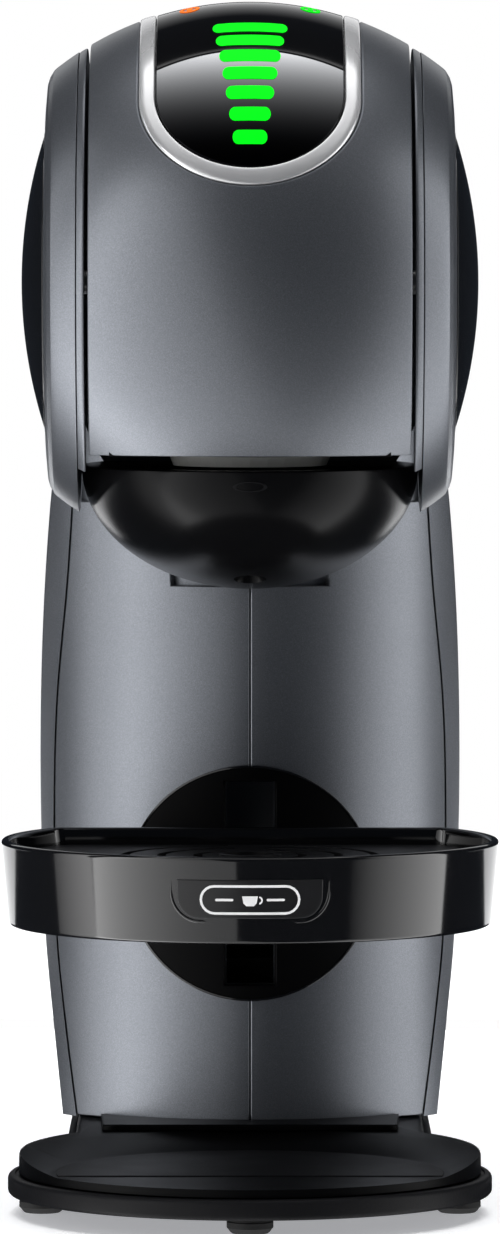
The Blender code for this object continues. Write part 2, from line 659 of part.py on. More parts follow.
def make_bracket(mats):
    """The tray's holder: a plate with two pegs in front, and a tongue through the slot to a flange behind it."""
    low, high = MOUNT_Z - 0.0070, MOUNT_Z + 0.0070
    plate = box("tray_bracket", (-0.0150, TRAY_BACK_Y + GAP, low), (0.0150, -0.0303, high))
    plate = join(plate, box("tongue", (-0.0057, -0.0320, low), (0.0057, -0.0210, high)))
    plate = join(plate, box("flange", (-0.0095, -0.0232, low), (0.0095, -0.0208, high)))
    for side in (-1, 1):
        peg = cylinder("peg", (side * 0.0080, -0.0470, MOUNT_Z), 0.0120, 0.0023, "Y", 20)
        plate = join(plate, peg)
    return finish(plate, mats["matte"])


# Water tank ----------------------------------------------------------------------------------------
def tank_plan(inset):
    half_x, corner = TANK_HALF_WIDTH - inset, TANK_CORNER - inset
    half_y = (TANK_BACK_Y - TANK_FRONT_Y) / 2 - inset
    points = []
    for sx, sy, start in ((1, 1, 0), (-1, 1, 90), (-1, -1, 180), (1, -1, 270)):
        centre = (sx * (half_x - corner), TANK_Y + sy * (half_y - corner))
        points += arc(centre, corner, start, start + 90, 8)
    return points


def make_tank(mats):
    tank = prism("water_tank", tank_plan(0), TANK_BOTTOM_Z, TANK_TOP_Z)
    tank = cut(tank, prism("tank_room", tank_plan(TANK_WALL), TANK_BOTTOM_Z + TANK_WALL, TANK_TOP_Z + 0.01))
    tank = cut(tank, cylinder("tank_hole", (0, VALVE_Y, 0.01), 0.03, 0.0034, sides=28))
    finish(tank, mats["smoke"])
    lid = prism("tank_lid", tank_plan(-0.0004), TANK_TOP_Z + GAP, LID_TOP_Z - 0.0015)
    lid = join(lid, prism("lid_crown", tank_plan(0.0016), LID_TOP_Z - 0.0016, LID_TOP_Z))
    lid = join(lid, prism("lid_plug", tank_plan(TANK_WALL + 0.0020), TANK_TOP_Z - 0.0012, TANK_TOP_Z + 0.0010))
    finish(lid, mats["matte"])
    valve = cylinder("tank_valve", (0, VALVE_Y, 0.0182), 0.0060, 0.0026, sides=24)
    valve = join(valve, cylinder("valve_head", (0, VALVE_Y, TANK_BOTTOM_Z + TANK_WALL + GAP), 0.0024, 0.0065, sides=28))
    finish(valve, mats["silicone"])
    seat = prism("tank_seat", tank_plan(0.0040), COVER_TOP_Z + GAP, TANK_BOTTOM_Z - GAP)
    seat = cut(seat, cylinder("seat_well", (0, VALVE_Y, 0.0172), 0.01, 0.0120, sides=32))
    seat = cut(seat, box("seat_notch", (0.0195, 0.1200, 0.0100), (0.0305, 0.1400, 0.0300)))
    finish(seat, mats["matte"])
    seal = [(0.0175, 0.0060), (0.0209, 0.0065), (0.0209, 0.0085), (0.0175, 0.0095)]
    finish(turned("tank_seal", seal, (0, VALVE_Y, 0), "Z", steps=24), mats["silicone"])
    hinged(bpy.data.objects["tank_lid"], (0, TANK_BACK_Y + 0.0005, TANK_TOP_Z + GAP))


# Inside the column ---------------------------------------------------------------------------------
def make_inside(mats):
    frame = box("inner_frame", (-0.0400, 0.0490, 0.0164), (0.0400, 0.0505, 0.1560))
    for side in (-1, 1):
        low, high = sorted((side * 0.0400, side * 0.0385))
        frame = join(frame, box("fold", (low, 0.0380, 0.0164), (high, 0.0500, 0.1560)))
    finish(frame, mats["steel"])

    pump = turned("water_pump", pump_profile(), (0, 0, 0), "Z", steps=20, closed=False)
    pump.data.transform(Matrix.Translation((0, -0.0130, 0.0380)) @ Matrix.Rotation(math.radians(-90), 4, "X"))
    finish(pump, mats["matte"])
    for word, y in (("front", 0.0005), ("rear", 0.0310)):
        mount = box(f"pump_mount_{word}", (-0.0185, y, 0.0164), (0.0185, y + 0.0060, 0.0560))
        mount = cut(mount, cylinder("mount_bore", (0, y - 0.01, 0.0380), 0.03, 0.0143, "Y", 32))
        finish(mount, mats["rubber"])

    block = box("thermoblock", (-0.0260, 0.0120, 0.1140), (0.0260, 0.0380, 0.1480))
    for side in (-1, 1):
        port = cylinder("port", (side * 0.0160, 0.0250, 0.1470), 0.0090, 0.0040, sides=20)
        block = join(block, port)
    finish(block, mats["boiler"])
    meter = cylinder("flow_meter", (0.0315, 0.0240, 0.0800), 0.0140, 0.0100, sides=28)
    finish(join(meter, cylinder("meter_port", (0.0315, 0.0240, 0.0930), 0.0080, 0.0030, sides=16)), mats["silicone"])
    finish(box("control_board", (-0.0240, -0.0060, 0.1100), (0.0240, -0.0044, 0.1500)), mats["board"])
    finish(box("power_board", (-0.0420, 0.0060, 0.0640), (-0.0404, 0.0440, 0.1040)), mats["board"])

    hoses = {
        "inlet_hose": (0.0026, [(0.0315, 0.0240, 0.0794), (0.0315, 0.0242, 0.0740), (0.0305, 0.0300, 0.0480),
                                (0.0280, 0.0340, 0.0300), (0.0280, 0.0350, 0.0200)]),
        "pressure_hose": (0.0022, [(0.0, -0.0136, 0.0380), (-0.0008, -0.0166, 0.0384), (-0.0100, -0.0185, 0.0430), (-0.0240, -0.0110, 0.0560),
                                   (-0.0325, 0.0100, 0.1000), (-0.0310, 0.0200, 0.1500), (-0.0220, 0.0248, 0.1640),
                                   (-0.0162, 0.0250, 0.1615), (-0.0160, 0.0250, 0.1574)]),
        "brew_hose": (0.0018, [(0.0160, 0.0250, 0.1574), (0.0160, 0.0250, 0.1620), (0.0100, 0.0050, 0.1760),
                               (0.0060, -0.0200, 0.1960), (0.0030, -0.0480, 0.2140), (0.0, -0.0730, 0.2130),
                               (0.0, CAPSULE_Y, 0.2066)]),
    }  # fmt: skip
    for name, (radius, route) in hoses.items():
        finish(tube(name, route, radius), mats["silicone"])


def pump_profile():
    """Depth along the pump against radius, from the outlet to the inlet."""
    steps = [(0.0, 0.0040), (0.0060, 0.0040), (0.0060, 0.0100), (0.0120, 0.0140), (0.0450, 0.0140)]
    steps += [(0.0450, 0.0090), (0.0540, 0.0090), (0.0540, 0.0035), (0.0600, 0.0035)]
    return [(0.0600, 0.0), *reversed(steps), (0.0, 0.0)]


# Build ---------------------------------------------------------------------------------------------
clear_scene()
PARTS = bpy.data.collections.new("pod_coffee_machine")
bpy.context.scene.collection.children.link(PARTS)
materials = make_materials()
make_lever(materials)
make_head(materials)
make_needle_plate(materials)
make_capsule_holder(materials)
make_column(materials)
make_base(materials)
make_tray(materials)
make_tank(materials)
make_inside(materials)
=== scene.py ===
"""Looks of the pod coffee machine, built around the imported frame."""

from math import acos, asin, atan2, ceil, cos, degrees, hypot, pi, radians, sin, sqrt, tan, tau

import bmesh
import bpy
import numpy as np
from mathutils import Matrix, Vector
from mathutils.geometry import delaunay_2d_cdt


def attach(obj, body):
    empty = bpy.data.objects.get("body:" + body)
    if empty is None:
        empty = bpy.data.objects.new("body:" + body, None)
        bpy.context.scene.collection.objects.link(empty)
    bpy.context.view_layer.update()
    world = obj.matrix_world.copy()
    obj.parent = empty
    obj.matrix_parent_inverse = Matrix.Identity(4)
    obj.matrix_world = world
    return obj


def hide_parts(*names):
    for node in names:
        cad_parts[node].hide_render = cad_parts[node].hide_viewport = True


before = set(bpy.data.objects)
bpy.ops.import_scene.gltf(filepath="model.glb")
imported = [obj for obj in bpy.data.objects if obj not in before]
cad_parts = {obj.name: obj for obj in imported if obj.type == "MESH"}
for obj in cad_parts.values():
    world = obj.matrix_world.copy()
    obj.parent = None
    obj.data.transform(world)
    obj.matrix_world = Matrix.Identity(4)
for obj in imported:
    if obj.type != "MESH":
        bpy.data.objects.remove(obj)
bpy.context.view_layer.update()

# The machine's driving sizes, in metres, as in the CAD model
DRUM_Y, DRUM_Z = -0.05, 0.23
DRUM_CENTRE = (0, DRUM_Y, DRUM_Z)
DRUM_RADIUS, CROWN = 0.07, 0.078
LEVER_HALF = 0.0397
LEVER_EDGE_Z = 0.188
BACK = DRUM_RADIUS * radians(102)
TONGUE_ANGLE = radians(55)
TONGUE_DROP = 0.0125
TONGUE_RADIUS = 0.0232
BEZEL_WIDTH = 0.004
COLUMN_RADIUS = 0.0586
COLUMN_Y = -0.027 + COLUMN_RADIUS
TRAY_Y = -0.074
TRAY_TAPER = (0.06165 - 0.0597) / (0.0927 - 0.0716)
HOLDER_TOP = 0.1846
HOLDER_AXES = (0.0421, 0.054, 0.0311)
MOUNT_Z = 0.0778
SIDES = (("left", -1), ("right", 1))


# Materials
def new_material(name, values):
    """A material, its node tree and its shader, with some of the shader's inputs set."""
    made = bpy.data.materials.new(name)
    made.use_nodes = True
    shader = made.node_tree.nodes["Principled BSDF"]
    for word, value in values.items():
        shader.inputs[word].default_value = value
    return made, made.node_tree, shader


def noise(tree, scale, detail=3.0):
    """A noise pattern that stays with the piece."""
    place = tree.nodes.new("ShaderNodeTexCoord")
    made = tree.nodes.new("ShaderNodeTexNoise")
    made.inputs["Scale"].default_value = scale
    made.inputs["Detail"].default_value = detail
    tree.links.new(place.outputs["Object"], made.inputs["Vector"])
    return made.outputs["Fac"]


def ramp(tree, source, low, high, start=0.35, end=0.65):
    """A number that runs from low to high as the source runs from start to end."""
    spread = tree.nodes.new("ShaderNodeMapRange")
    spread.inputs["From Min"].default_value = start
    spread.inputs["From Max"].default_value = end
    spread.inputs["To Min"].default_value = low
    spread.inputs["To Max"].default_value = high
    tree.links.new(source, spread.inputs["Value"])
    return spread.outputs["Result"]


def add_bump(tree, shader, source, strength, distance=0.0002):
    bump = tree.nodes.new("ShaderNodeBump")
    bump.inputs["Strength"].default_value = strength
    bump.inputs["Distance"].default_value = distance
    tree.links.new(source, bump.inputs["Height"])
    tree.links.new(bump.outputs["Normal"], shader.inputs["Normal"])


def calculate(tree, operation, source, other):
    """One step of arithmetic on a number. The other side is a plain value or a second number's socket."""
    made = tree.nodes.new("ShaderNodeMath")
    made.operation = operation
    tree.links.new(source, made.inputs[0])
    if isinstance(other, float):
        made.inputs[1].default_value = other
    else:
        tree.links.new(other, made.inputs[1])
    return made.outputs["Value"]


def tint(tree, shader, factor, dark, light):
    """A base colour that runs from dark to light as the factor runs from 0 to 1."""
    mix = tree.nodes.new("ShaderNodeMix")
    mix.data_type = "RGBA"
    mix.inputs["A"].default_value = (*dark, 1)
    mix.inputs["B"].default_value = (*light, 1)
    tree.links.new(factor, mix.inputs["Factor"])
    tree.links.new(mix.outputs["Result"], shader.inputs["Base Color"])


def drive(tree, shader, word, source, low, high):
    """Runs one of the shader's inputs from low to high with a noise pattern."""
    tree.links.new(ramp(tree, source, low, high), shader.inputs[word])


def plain(name, colour, roughness, metallic=0.0, coat=0.0, coat_roughness=0.05, texture=0.0, scale=900.0,
          vary=0.06, ior=1.5):
    """A plastic, paint, rubber or metal whose colour and roughness vary a little, with a fine texture."""
    values = {"Metallic": metallic, "Coat Weight": coat, "Coat Roughness": coat_roughness, "IOR": ior}
    made, tree, shader = new_material(name, values)
    broad = noise(tree, 35.0)
    tint(tree, shader, ramp(tree, broad, 0.0, 1.0), [c * (1 - vary) for c in colour], colour)
    drive(tree, shader, "Roughness", broad, roughness * 0.92, roughness * 1.08)
    if texture:
        add_bump(tree, shader, noise(tree, scale, 2.0), texture)
    return made


def metallic_paint(name, colour):
    """Grey paint with fine metal flakes under a soft clear coat."""
    made, tree, shader = new_material(name, {"Metallic": 0.9, "Coat Weight": 0.25, "Coat Roughness": 0.25})
    flakes = noise(tree, 5200.0, 1.0)
    glint = ramp(tree, flakes, 0.0, 1.0, 0.4, 0.68)
    tint(tree, shader, glint, [c * 0.86 for c in colour], [c * 1.2 for c in colour])
    drive(tree, shader, "Roughness", noise(tree, 22.0), 0.37, 0.41)
    add_bump(tree, shader, flakes, 0.05, 0.00005)
    return made


PAINT = metallic_paint("space_grey_paint", (0.25, 0.264, 0.292))
GLOSS = plain("gloss_black", (0.004, 0.004, 0.0045), 0.08, ior=1.85)
PIANO = plain("holder_black", (0.003, 0.003, 0.0034), 0.24, ior=1.24)
SATIN = plain("satin_black", (0.007, 0.007, 0.008), 0.42, texture=0.25, scale=1600, ior=1.25)
CHROME = plain("chrome", (0.92, 0.92, 0.93), 0.2, metallic=0.72, vary=0.02)
RUBBER = plain("black_rubber", (0.018, 0.018, 0.018), 0.78, texture=0.4, scale=1200)
STEEL = plain("brushed_steel", (0.55, 0.55, 0.56), 0.3, metallic=1.0, texture=0.15)
SILICONE = plain("silicone", (0.7, 0.7, 0.67), 0.45)
BOARD = plain("circuit_board", (0.02, 0.14, 0.05), 0.45, coat=0.3)
CAST = plain("cast_aluminium", (0.55, 0.56, 0.57), 0.45, metallic=1.0, texture=0.6, scale=500)


def painted_reflection_lens_material():
    """Metallic display glass with a painted reflection: its colour fades from light grey at its upper edge to
    near black at the lower one, in place of the overhead lamp's reflection.
    """
    made, tree, shader = new_material("display_glass_painted_reflection", {"Metallic": 1.0})
    place = tree.nodes.new("ShaderNodeTexCoord")
    split = tree.nodes.new("ShaderNodeSeparateXYZ")
    tree.links.new(place.outputs["Object"], split.inputs["Vector"])
    # Painted reflection: the lens colour runs from near black up to light grey as the lens rises, brightest at
    # its upper edge.
    height = ramp(tree, split.outputs["Z"], 0.0, 1.0, 0.26, 0.2885)
    tint(tree, shader, calculate(tree, "POWER", height, 3.0), (0.006, 0.006, 0.007), (0.7, 0.71, 0.73))
    drive(tree, shader, "Roughness", noise(tree, 60.0), 0.09, 0.12)
    return made


def smoked(name, colour):
    """See-through tinted plastic."""
    made, tree, shader = new_material(name, {"Transmission Weight": 0.85, "IOR": 1.45})
    broad = noise(tree, 30.0)
    tint(tree, shader, ramp(tree, broad, 0.0, 1.0), [c * 0.93 for c in colour], colour)
    drive(tree, shader, "Roughness", broad, 0.07, 0.11)
    return made


def glow(name, colour):
    """A lit sign on the display, its light a little uneven."""
    base = (*(c * 0.2 for c in colour), 1)
    values = {"Base Color": base, "Roughness": 0.5, "IOR": 1.1, "Emission Color": (*colour, 1)}
    made, tree, shader = new_material(name, values)
    drive(tree, shader, "Emission Strength", noise(tree, 700.0), 0.9, 1.1)
    return made


PAINTED_REFLECTION_LENS = painted_reflection_lens_material()
BASE_GLASS = plain("black_glass", (0.003, 0.003, 0.0034), 0.08, ior=1.38)
SMOKE = smoked("smoked_plastic", (0.3, 0.32, 0.35))
BADGE = plain("badge_black", (0.01, 0.01, 0.011), 0.3, coat=0.2, coat_roughness=0.2)
PRINT = plain("white_print", (0.85, 0.85, 0.85), 0.45)
BASE_BLACK = plain("base_black", (0.002, 0.002, 0.0023), 0.34, texture=0.04, scale=1500, ior=1.17)
GREEN = glow("green_light", (0.0, 1.0, 0.01))
ORANGE = glow("orange_light", (1.0, 0.2, 0.02))


# Mesh building
def add_object(name, data):
    made = bpy.data.objects.new(name, data)
    bpy.context.scene.collection.objects.link(made)
    return made


def make_object(name, points, faces, material, normals=None, smooth=True):
    """A piece from points and faces, with a normal at each face corner where they are given."""
    mesh = bpy.data.meshes.new(name)
    mesh.from_pydata([tuple(p) for p in points], [], faces)
    mesh.materials.append(material)
    if smooth:
        mesh.shade_smooth()
    if normals is not None:
        mesh.normals_split_custom_set([tuple(n) for n in normals])
    return add_object(name, mesh)


def place(obj, body, *nodes, slot=None):
    """Puts a piece on its body, in place of the CAD nodes named."""
    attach(obj, body)
    if nodes:
        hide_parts(*nodes)


def outward(obj, angle=30):
    """Closes up doubled points, turns the faces outwards and marks the sharp edges."""
    shape = bmesh.new()
    shape.from_mesh(obj.data)
    bmesh.ops.remove_doubles(shape, verts=shape.verts, dist=2e-6)
    bmesh.ops.recalc_face_normals(shape, faces=shape.faces)
    shape.to_mesh(obj.data)
    shape.free()
    obj.data.shade_smooth()
    obj.data.set_sharp_from_angle(angle=radians(angle))
    return obj


def loft(name, rows, material, closed_rows=True, closed_ends=False, cap=False, angle=30):
    """A skin over rows of points. closed_rows joins each row's last point to its first."""
    count = len(rows[0])
    points = [p for row in rows for p in row]
    faces = []
    pairs = [(r, r + 1) for r in range(len(rows) - 1)]
    if closed_ends:
        pairs.append((len(rows) - 1, 0))
    for a, b in pairs:
        for i in range(count if closed_rows else count - 1):
            j = (i + 1) % count
            faces.append((a * count + i, a * count + j, b * count + j, b * count + i))
    if cap:
        faces.append(tuple(range(count))[::-1])
        faces.append(tuple((len(rows) - 1) * count + i for i in range(count)))
    return outward(make_object(name, points, faces, material), angle)


def arc(centre, radius, start, end, steps):
    turns = [radians(start + (end - start) * i / steps) for i in range(steps + 1)]
    return [(centre[0] + radius * cos(a), centre[1] + radius * sin(a)) for a in turns]


def mm(*points):
    """Points given in millimetres, in metres."""
    return [tuple(c / 1000 for c in point) for point in points]


def spread(first, last, count):
    return [first + (last - first) * i / (count - 1) for i in range(count)]


def rounded(profile, steps=5):
    """A profile of (along, radius, corner) with each corner rounded by its own radius."""
    made = []
    for i, (x, y, corner) in enumerate(profile):
        here = Vector((x, y))
        if corner <= 0:
            made.append((x, y))
            continue
        before = Vector(profile[i - 1][:2]) - here
        after = Vector(profile[(i + 1) % len(profile)][:2]) - here
        reach = min(corner / tan(before.angle(after) / 2), 0.49 * before.length, 0.49 * after.length)
        a = here + before.normalized() * reach
        b = here + after.normalized() * reach
        for k in range(steps + 1):
            t = k / steps
            made.append(tuple(a * (1 - t) ** 2 + here * 2 * t * (1 - t) + b * t**2))
    return made


def turned(name, profile, centre, axis, material, start=0.0, sweep=360.0, steps=128, angle=30):
    """A profile of (along, radius) turned about an axis, its ends joined where it starts off that axis.

    About X, angles run from straight up towards the front; about Y and Z, they run from +X."""
    closed = profile[0][1] > 0
    full = abs(sweep) >= 359.9
    rows = []
    for i in range(steps if full else steps + 1):
        turn = radians(start + sweep * i / steps)
        row = []
        for along, radius in profile:
            a, b = radius * cos(turn), radius * sin(turn)
            spot = {"X": (along, -b, a), "Y": (a, along, b), "Z": (a, b, along)}[axis]
            row.append([c + d for c, d in zip(centre, spot)])
        rows.append(row)
    return loft(name, rows, material, closed, full, cap=closed and not full, angle=angle)


def rod(name, radius, low, high, centre, axis, material, steps=32):
    """A round bar from low to high along an axis."""
    profile = [(low, 0), (low, radius), (high, radius), (high, 0)]
    return turned(name, profile, centre, axis, material, steps=steps)


def boolean(obj, *tools, operation="DIFFERENCE"):
    """Cuts tools from a piece, or joins them to it, one after another."""
    for tool in tools:
        modifier = obj.modifiers.new("cut", "BOOLEAN")
        modifier.operation = operation
        modifier.solver = "EXACT"
        modifier.object = tool
        graph = bpy.context.evaluated_depsgraph_get()
        mesh = bpy.data.meshes.new_from_object(obj.evaluated_get(graph))
        obj.modifiers.clear()
        obj.data = mesh
        bpy.data.objects.remove(tool, do_unlink=True)
        outward(obj)
    return obj


def block(name, low, high, material, bevel=0.0, segments=3):
    shape = bmesh.new()
    bmesh.ops.create_cube(shape, size=1.0)
    size = Vector(high) - Vector(low)
    middle = (Vector(high) + Vector(low)) / 2
    bmesh.ops.scale(shape, vec=size, verts=shape.verts)
    bmesh.ops.translate(shape, vec=middle, verts=shape.verts)
    if bevel:
        edges = shape.edges[:]
        bmesh.ops.bevel(shape, geom=edges, offset=bevel, segments=segments, profile=0.5, affect="EDGES")
    mesh = bpy.data.meshes.new(name)
    shape.to_mesh(mesh)
    shape.free()
    mesh.materials.append(material)
    mesh.shade_smooth()
    mesh.set_sharp_from_angle(angle=radians(35))
    return add_object(name, mesh)


def true_normals(obj, surface, tolerance=4e-6):
    """Sets exact normals where faces lie on a known surface: surface(point) gives (distance, normal)."""
    mesh = obj.data
    kept = [Vector(n.vector) for n in mesh.corner_normals]
    for face in mesh.polygons:
        found = []
        for loop in face.loop_indices:
            distance, normal = surface(mesh.vertices[mesh.loops[loop].vertex_index].co)
            if abs(distance) > tolerance or normal.dot(face.normal) < 0.9:
                break
            found.append(normal)
        if len(found) == face.loop_total:
            for loop, normal in zip(face.loop_indices, found):
                kept[loop] = normal
    mesh.normals_split_custom_set([tuple(n) for n in kept])
    return obj


def offset_loop(loop, distance):
    """A closed counter-clockwise outline moved inwards."""
    moved = []
    count = len(loop)
    for i, here in enumerate(loop):
        before = (here - loop[i - 1]).normalized()
        after = (loop[(i + 1) % count] - here).normalized()
        inward = Vector((-before.y, before.x)) + Vector((-after.y, after.x))
        if inward.length < 1e-6:
            inward = Vector((-before.y, before.x))
        inward.normalize()
        stretch = max(0.5, inward.dot(Vector((-before.y, before.x))))
        moved.append((here + inward * distance / stretch, -inward))
    return moved


def resample(loop, step):
    """More points along an outline's long edges."""
    made = []
    for i, here in enumerate(loop):
        after = loop[(i + 1) % len(loop)]
        pieces = max(1, ceil((after - here).length / step))
        made += [here.lerp(after, k / pieces) for k in range(pieces)]
    return made


def inside(point, loop):
    x, y = point
    found = False
    for i, a in enumerate(loop):
        b = loop[i - 1]
        if (a.y > y) != (b.y > y) and x < (b.x - a.x) * (y - a.y) / (b.y - a.y) + a.x:
            found = not found
    return found


def panel(name, outline, surface, material, thickness, edge=0.0005, step=0.002, lift=0.0, holes=()):
    """A sheet on a curved surface with rounded edges. The outline and holes are in the surface's own flat
    coordinates, and surface(u, v) gives a point and its normal."""
    loops = [resample([Vector(p) for p in outline], step)]
    area = sum(a.cross(b) for a, b in zip(loops[0], loops[0][1:] + loops[0][:1]))
    if area < 0:
        loops[0].reverse()
    for hole in holes:
        loop = resample([Vector(p) for p in hole], step)
        if sum(a.cross(b) for a, b in zip(loop, loop[1:] + loop[:1])) > 0:
            loop.reverse()
        loops.append(loop)
    points, faces, normals = [], [], []
    inner_loops, bottom_loops = [], []

    def lay(u, v, height, lean, tilt):
        spot, normal = surface(u, v)
        if lean > 0:
            near, _ = surface(u + tilt.x * 1e-5, v + tilt.y * 1e-5)
            aside = (near - spot).normalized()
            facing = (normal * sqrt(max(0.0, 1 - lean * lean)) + aside * lean).normalized()
        else:
            facing = normal
        points.append(spot + normal * height)
        return len(points) - 1, facing

    for loop in loops:
        count = len(loop)
        rows = []
        depths = [(0.0, -thickness, 1.0), (0.0, lift - edge, 1.0)]
        for turn in (25, 50, 72, 90):
            a = radians(turn)
            depths.append((edge * (1 - cos(a)), lift - edge * (1 - sin(a)), cos(a)))
        for inset, height, lean in depths:
            rows.append([lay(p.x, p.y, height, lean, out) for p, out in offset_loop(loop, inset)])
        for low, high in zip(rows, rows[1:]):
            for i in range(count):
                j = (i + 1) % count
                corners = (low[i], low[j], high[j], high[i])
                faces.append(tuple(c[0] for c in corners))
                normals.extend(c[1] for c in corners)
        inner_loops.append(([p for p, _ in offset_loop(loop, edge)], [c[0] for c in rows[-1]]))
        bottom_loops.append(([p.copy() for p in loop], [c[0] for c in rows[0]]))

    xs = [p.x for p in loops[0]]
    ys = [p.y for p in loops[0]]
    for side, flat in ((1, inner_loops), (-1, bottom_loops)):
        verts, edges, owners = [], [], []
        for ring, ids in flat:
            first = len(verts)
            verts += [Vector(p) for p in ring]
            owners += ids
            edges += [(first + i, first + (i + 1) % len(ring)) for i in range(len(ring))]
        fixed = np.array([[p.x, p.y] for p in verts])
        u = min(xs) + step
        while u < max(xs):
            v = min(ys) + step
            while v < max(ys):
                near = np.min((fixed[:, 0] - u) ** 2 + (fixed[:, 1] - v) ** 2)
                if near > (0.55 * step) ** 2 and inside((u, v), flat[0][0]):
                    if not any(inside((u, v), ring) for ring, _ in flat[1:]):
                        verts.append(Vector((u, v)))
                v += step
            u += step
        made = delaunay_2d_cdt(verts, edges, [], 2, 1e-9)
        where = {}
        for index, origins in enumerate(made[3]):
            spot = made[0][index]
            known = [o for o in origins if o < len(owners)]
            if known:
                where[index] = (owners[known[0]], surface(spot.x, spot.y)[1])
            else:
                where[index] = lay(spot.x, spot.y, lift if side > 0 else -thickness, 0.0, None)
        for face in made[2]:
            centre = sum((made[0][i] for i in face), Vector((0, 0))) / len(face)
            if any(inside(centre, ring) for ring, _ in flat[1:]):
                continue
            order = list(face) if side > 0 else list(face)[::-1]
            faces.append(tuple(where[i][0] for i in order))
            normals.extend(where[i][1] * side for i in order)
    return make_object(name, points, faces, material, normals)


# Surfaces
def drum_radius(x):
    return DRUM_RADIUS - CROWN + sqrt(CROWN**2 - x**2)


def drum_surface(u, v):
    """The head's crowned drum: u along X, v along the curve at the middle, from straight ahead upwards."""
    angle = v / DRUM_RADIUS
    r = drum_radius(u)
    slope = -u / sqrt(CROWN**2 - u**2)
    out = Vector((0, -cos(angle), sin(angle)))
    normal = (out + Vector((-slope, 0, 0))).normalized()
    return Vector((u, DRUM_Y, DRUM_Z)) + out * r, normal


def column_surface(u, v):
    angle = u / COLUMN_RADIUS
    out = Vector((sin(angle), -cos(angle), 0))
    return Vector((0, COLUMN_Y, v)) + out * COLUMN_RADIUS, out


def on_drum(x, across):
    """The drum's flat coordinates of a point on the tongue's outline, given across its viewing direction."""
    return (x, DRUM_RADIUS * (TONGUE_ANGLE + asin(across / drum_radius(x))))


def tongue_path(radius, steps=48, side_steps=16):
    """The tongue's outline from the back on the left, round its lower end, to the back on the right."""
    lower = [on_drum(x, t) for x, t in arc((0, -TONGUE_DROP), radius, 180, 360, steps)]
    left = [(-radius, BACK + (lower[0][1] - BACK) * i / side_steps) for i in range(side_steps)]
    return left + lower + [(-x, v) for x, v in left[::-1]]


def edge_angle(x):
    return DRUM_RADIUS * -asin((DRUM_Z - LEVER_EDGE_Z) / drum_radius(x))


# Locking lever
def build_lever():
    opening = tongue_path(TONGUE_RADIUS + BEZEL_WIDTH + 0.0002)
    outline = [(x, edge_angle(x)) for x in spread(-LEVER_HALF, LEVER_HALF, 33)]
    outline += [(LEVER_HALF, BACK), *opening[::-1], (-LEVER_HALF, BACK)]
    shell = panel("lever_shell_skin", outline, drum_surface, PAINT, 0.003, 0.0005, 0.0022)
    place(shell, "locking_lever", "lever_shell", slot="grey_paint")
    build_bezel()
    build_display()
    build_marks()


def build_bezel():
    """The bright U-shaped ring, a rounded band standing a little proud of the lever."""
    outer = tongue_path(TONGUE_RADIUS + BEZEL_WIDTH, 96, 24)
    inner = tongue_path(TONGUE_RADIUS + 0.00025, 96, 24)
    section = [(0.0, -1.6), (0.0, -0.15), (0.03, 0.12), (0.09, 0.28), (0.18, 0.34), (0.5, 0.3), (0.8, 0.2)]
    section += [(0.92, 0.12), (0.97, 0.02), (1.0, -0.15), (1.0, -1.6)]
    rows = []
    for a, b in zip(outer, inner):
        spots = [(drum_surface(*Vector(a).lerp(Vector(b), across)), height) for across, height in section]
        rows.append([spot + normal * height * 0.001 for (spot, normal), height in spots])
    ring = loft("display_bezel_ring", rows, CHROME, cap=True, angle=50)
    place(ring, "locking_lever", "display_bezel", slot="chrome")


def split_line(x):
    """Where the display's top and front parts meet, bowed up in the middle."""
    return DRUM_RADIUS * radians(55.2 - 3.2 * (x / TONGUE_RADIUS) ** 2)


def build_display():
    gap = 0.00007
    radius = TONGUE_RADIUS - 0.00005
    seam = [(x, split_line(x)) for x in spread(-radius, radius, 25)]
    path = [p for p in tongue_path(radius, 64, 60) if p[1] < split_line(radius) - 0.0006]
    front = path + [(x, v - gap) for x, v in seam[::-1]]
    lens = panel("display_front_lens", front, drum_surface, PAINTED_REFLECTION_LENS, 0.0023, 0.00035, 0.0018, -0.0001)
    place(lens, "locking_lever", "display_front", slot="gloss_black")
    top = [(x, v + gap) for x, v in seam] + [(radius, BACK), (-radius, BACK)]
    cover = panel("display_top_cover", top, drum_surface, BASE_GLASS, 0.0023, 0.00035, 0.0018, -0.0001)
    place(cover, "locking_lever", "display_top", slot="gloss_black")


def bar_outline(half, height, middle):
    """A bar with round ends, centred across the display."""
    r = height / 2
    straight = half - r
    right = [(x + straight, v + middle) for x, v in arc((0, 0), r, -90, 90, 10)]
    left = [(x - straight, v + middle) for x, v in arc((0, 0), r, 90, 270, 10)]
    return right + left


def oval(x, y, radius, tall, last=345, steps=23):
    """A round outline about a point, stretched upwards."""
    return [(x + dx, y + dy * tall) for dx, dy in arc((0, 0), radius, 0, last, steps)]


def build_mark(name, outline, material, step=0.0012, holes=()):
    mark = panel(name, outline, drum_surface, material, 0.00004, 0.00002, step, 0.00005, holes)
    place(mark, "locking_lever")


def build_marks():
    """The glowing volume bars, widest at the top, and the round temperature and power signs behind them."""
    for i in range(7):
        middle = DRUM_RADIUS * radians(64.4 - 5.58 * i)
        tall = 1.65 * (1.0 - 0.02 * i)
        outline = bar_outline(0.0092 - 0.00083 * i, 0.003 - 0.00004 * i, 0.0)
        build_mark(f"light_bar_{i + 1}", [(x, middle + v * tall) for x, v in outline], GREEN)
    middle = DRUM_RADIUS * radians(81.4)
    for name, x, material in (("sign_left", -0.015, ORANGE), ("sign_right", 0.015, GREEN)):
        hole = oval(x, middle, 0.0017, 1.6)
        build_mark(name, oval(x, middle, 0.0025, 1.6), material, holes=[hole])
        build_mark(f"{name}_dot", oval(x, middle, 0.00072, 1.6 / 0.6), material, 0.0006)


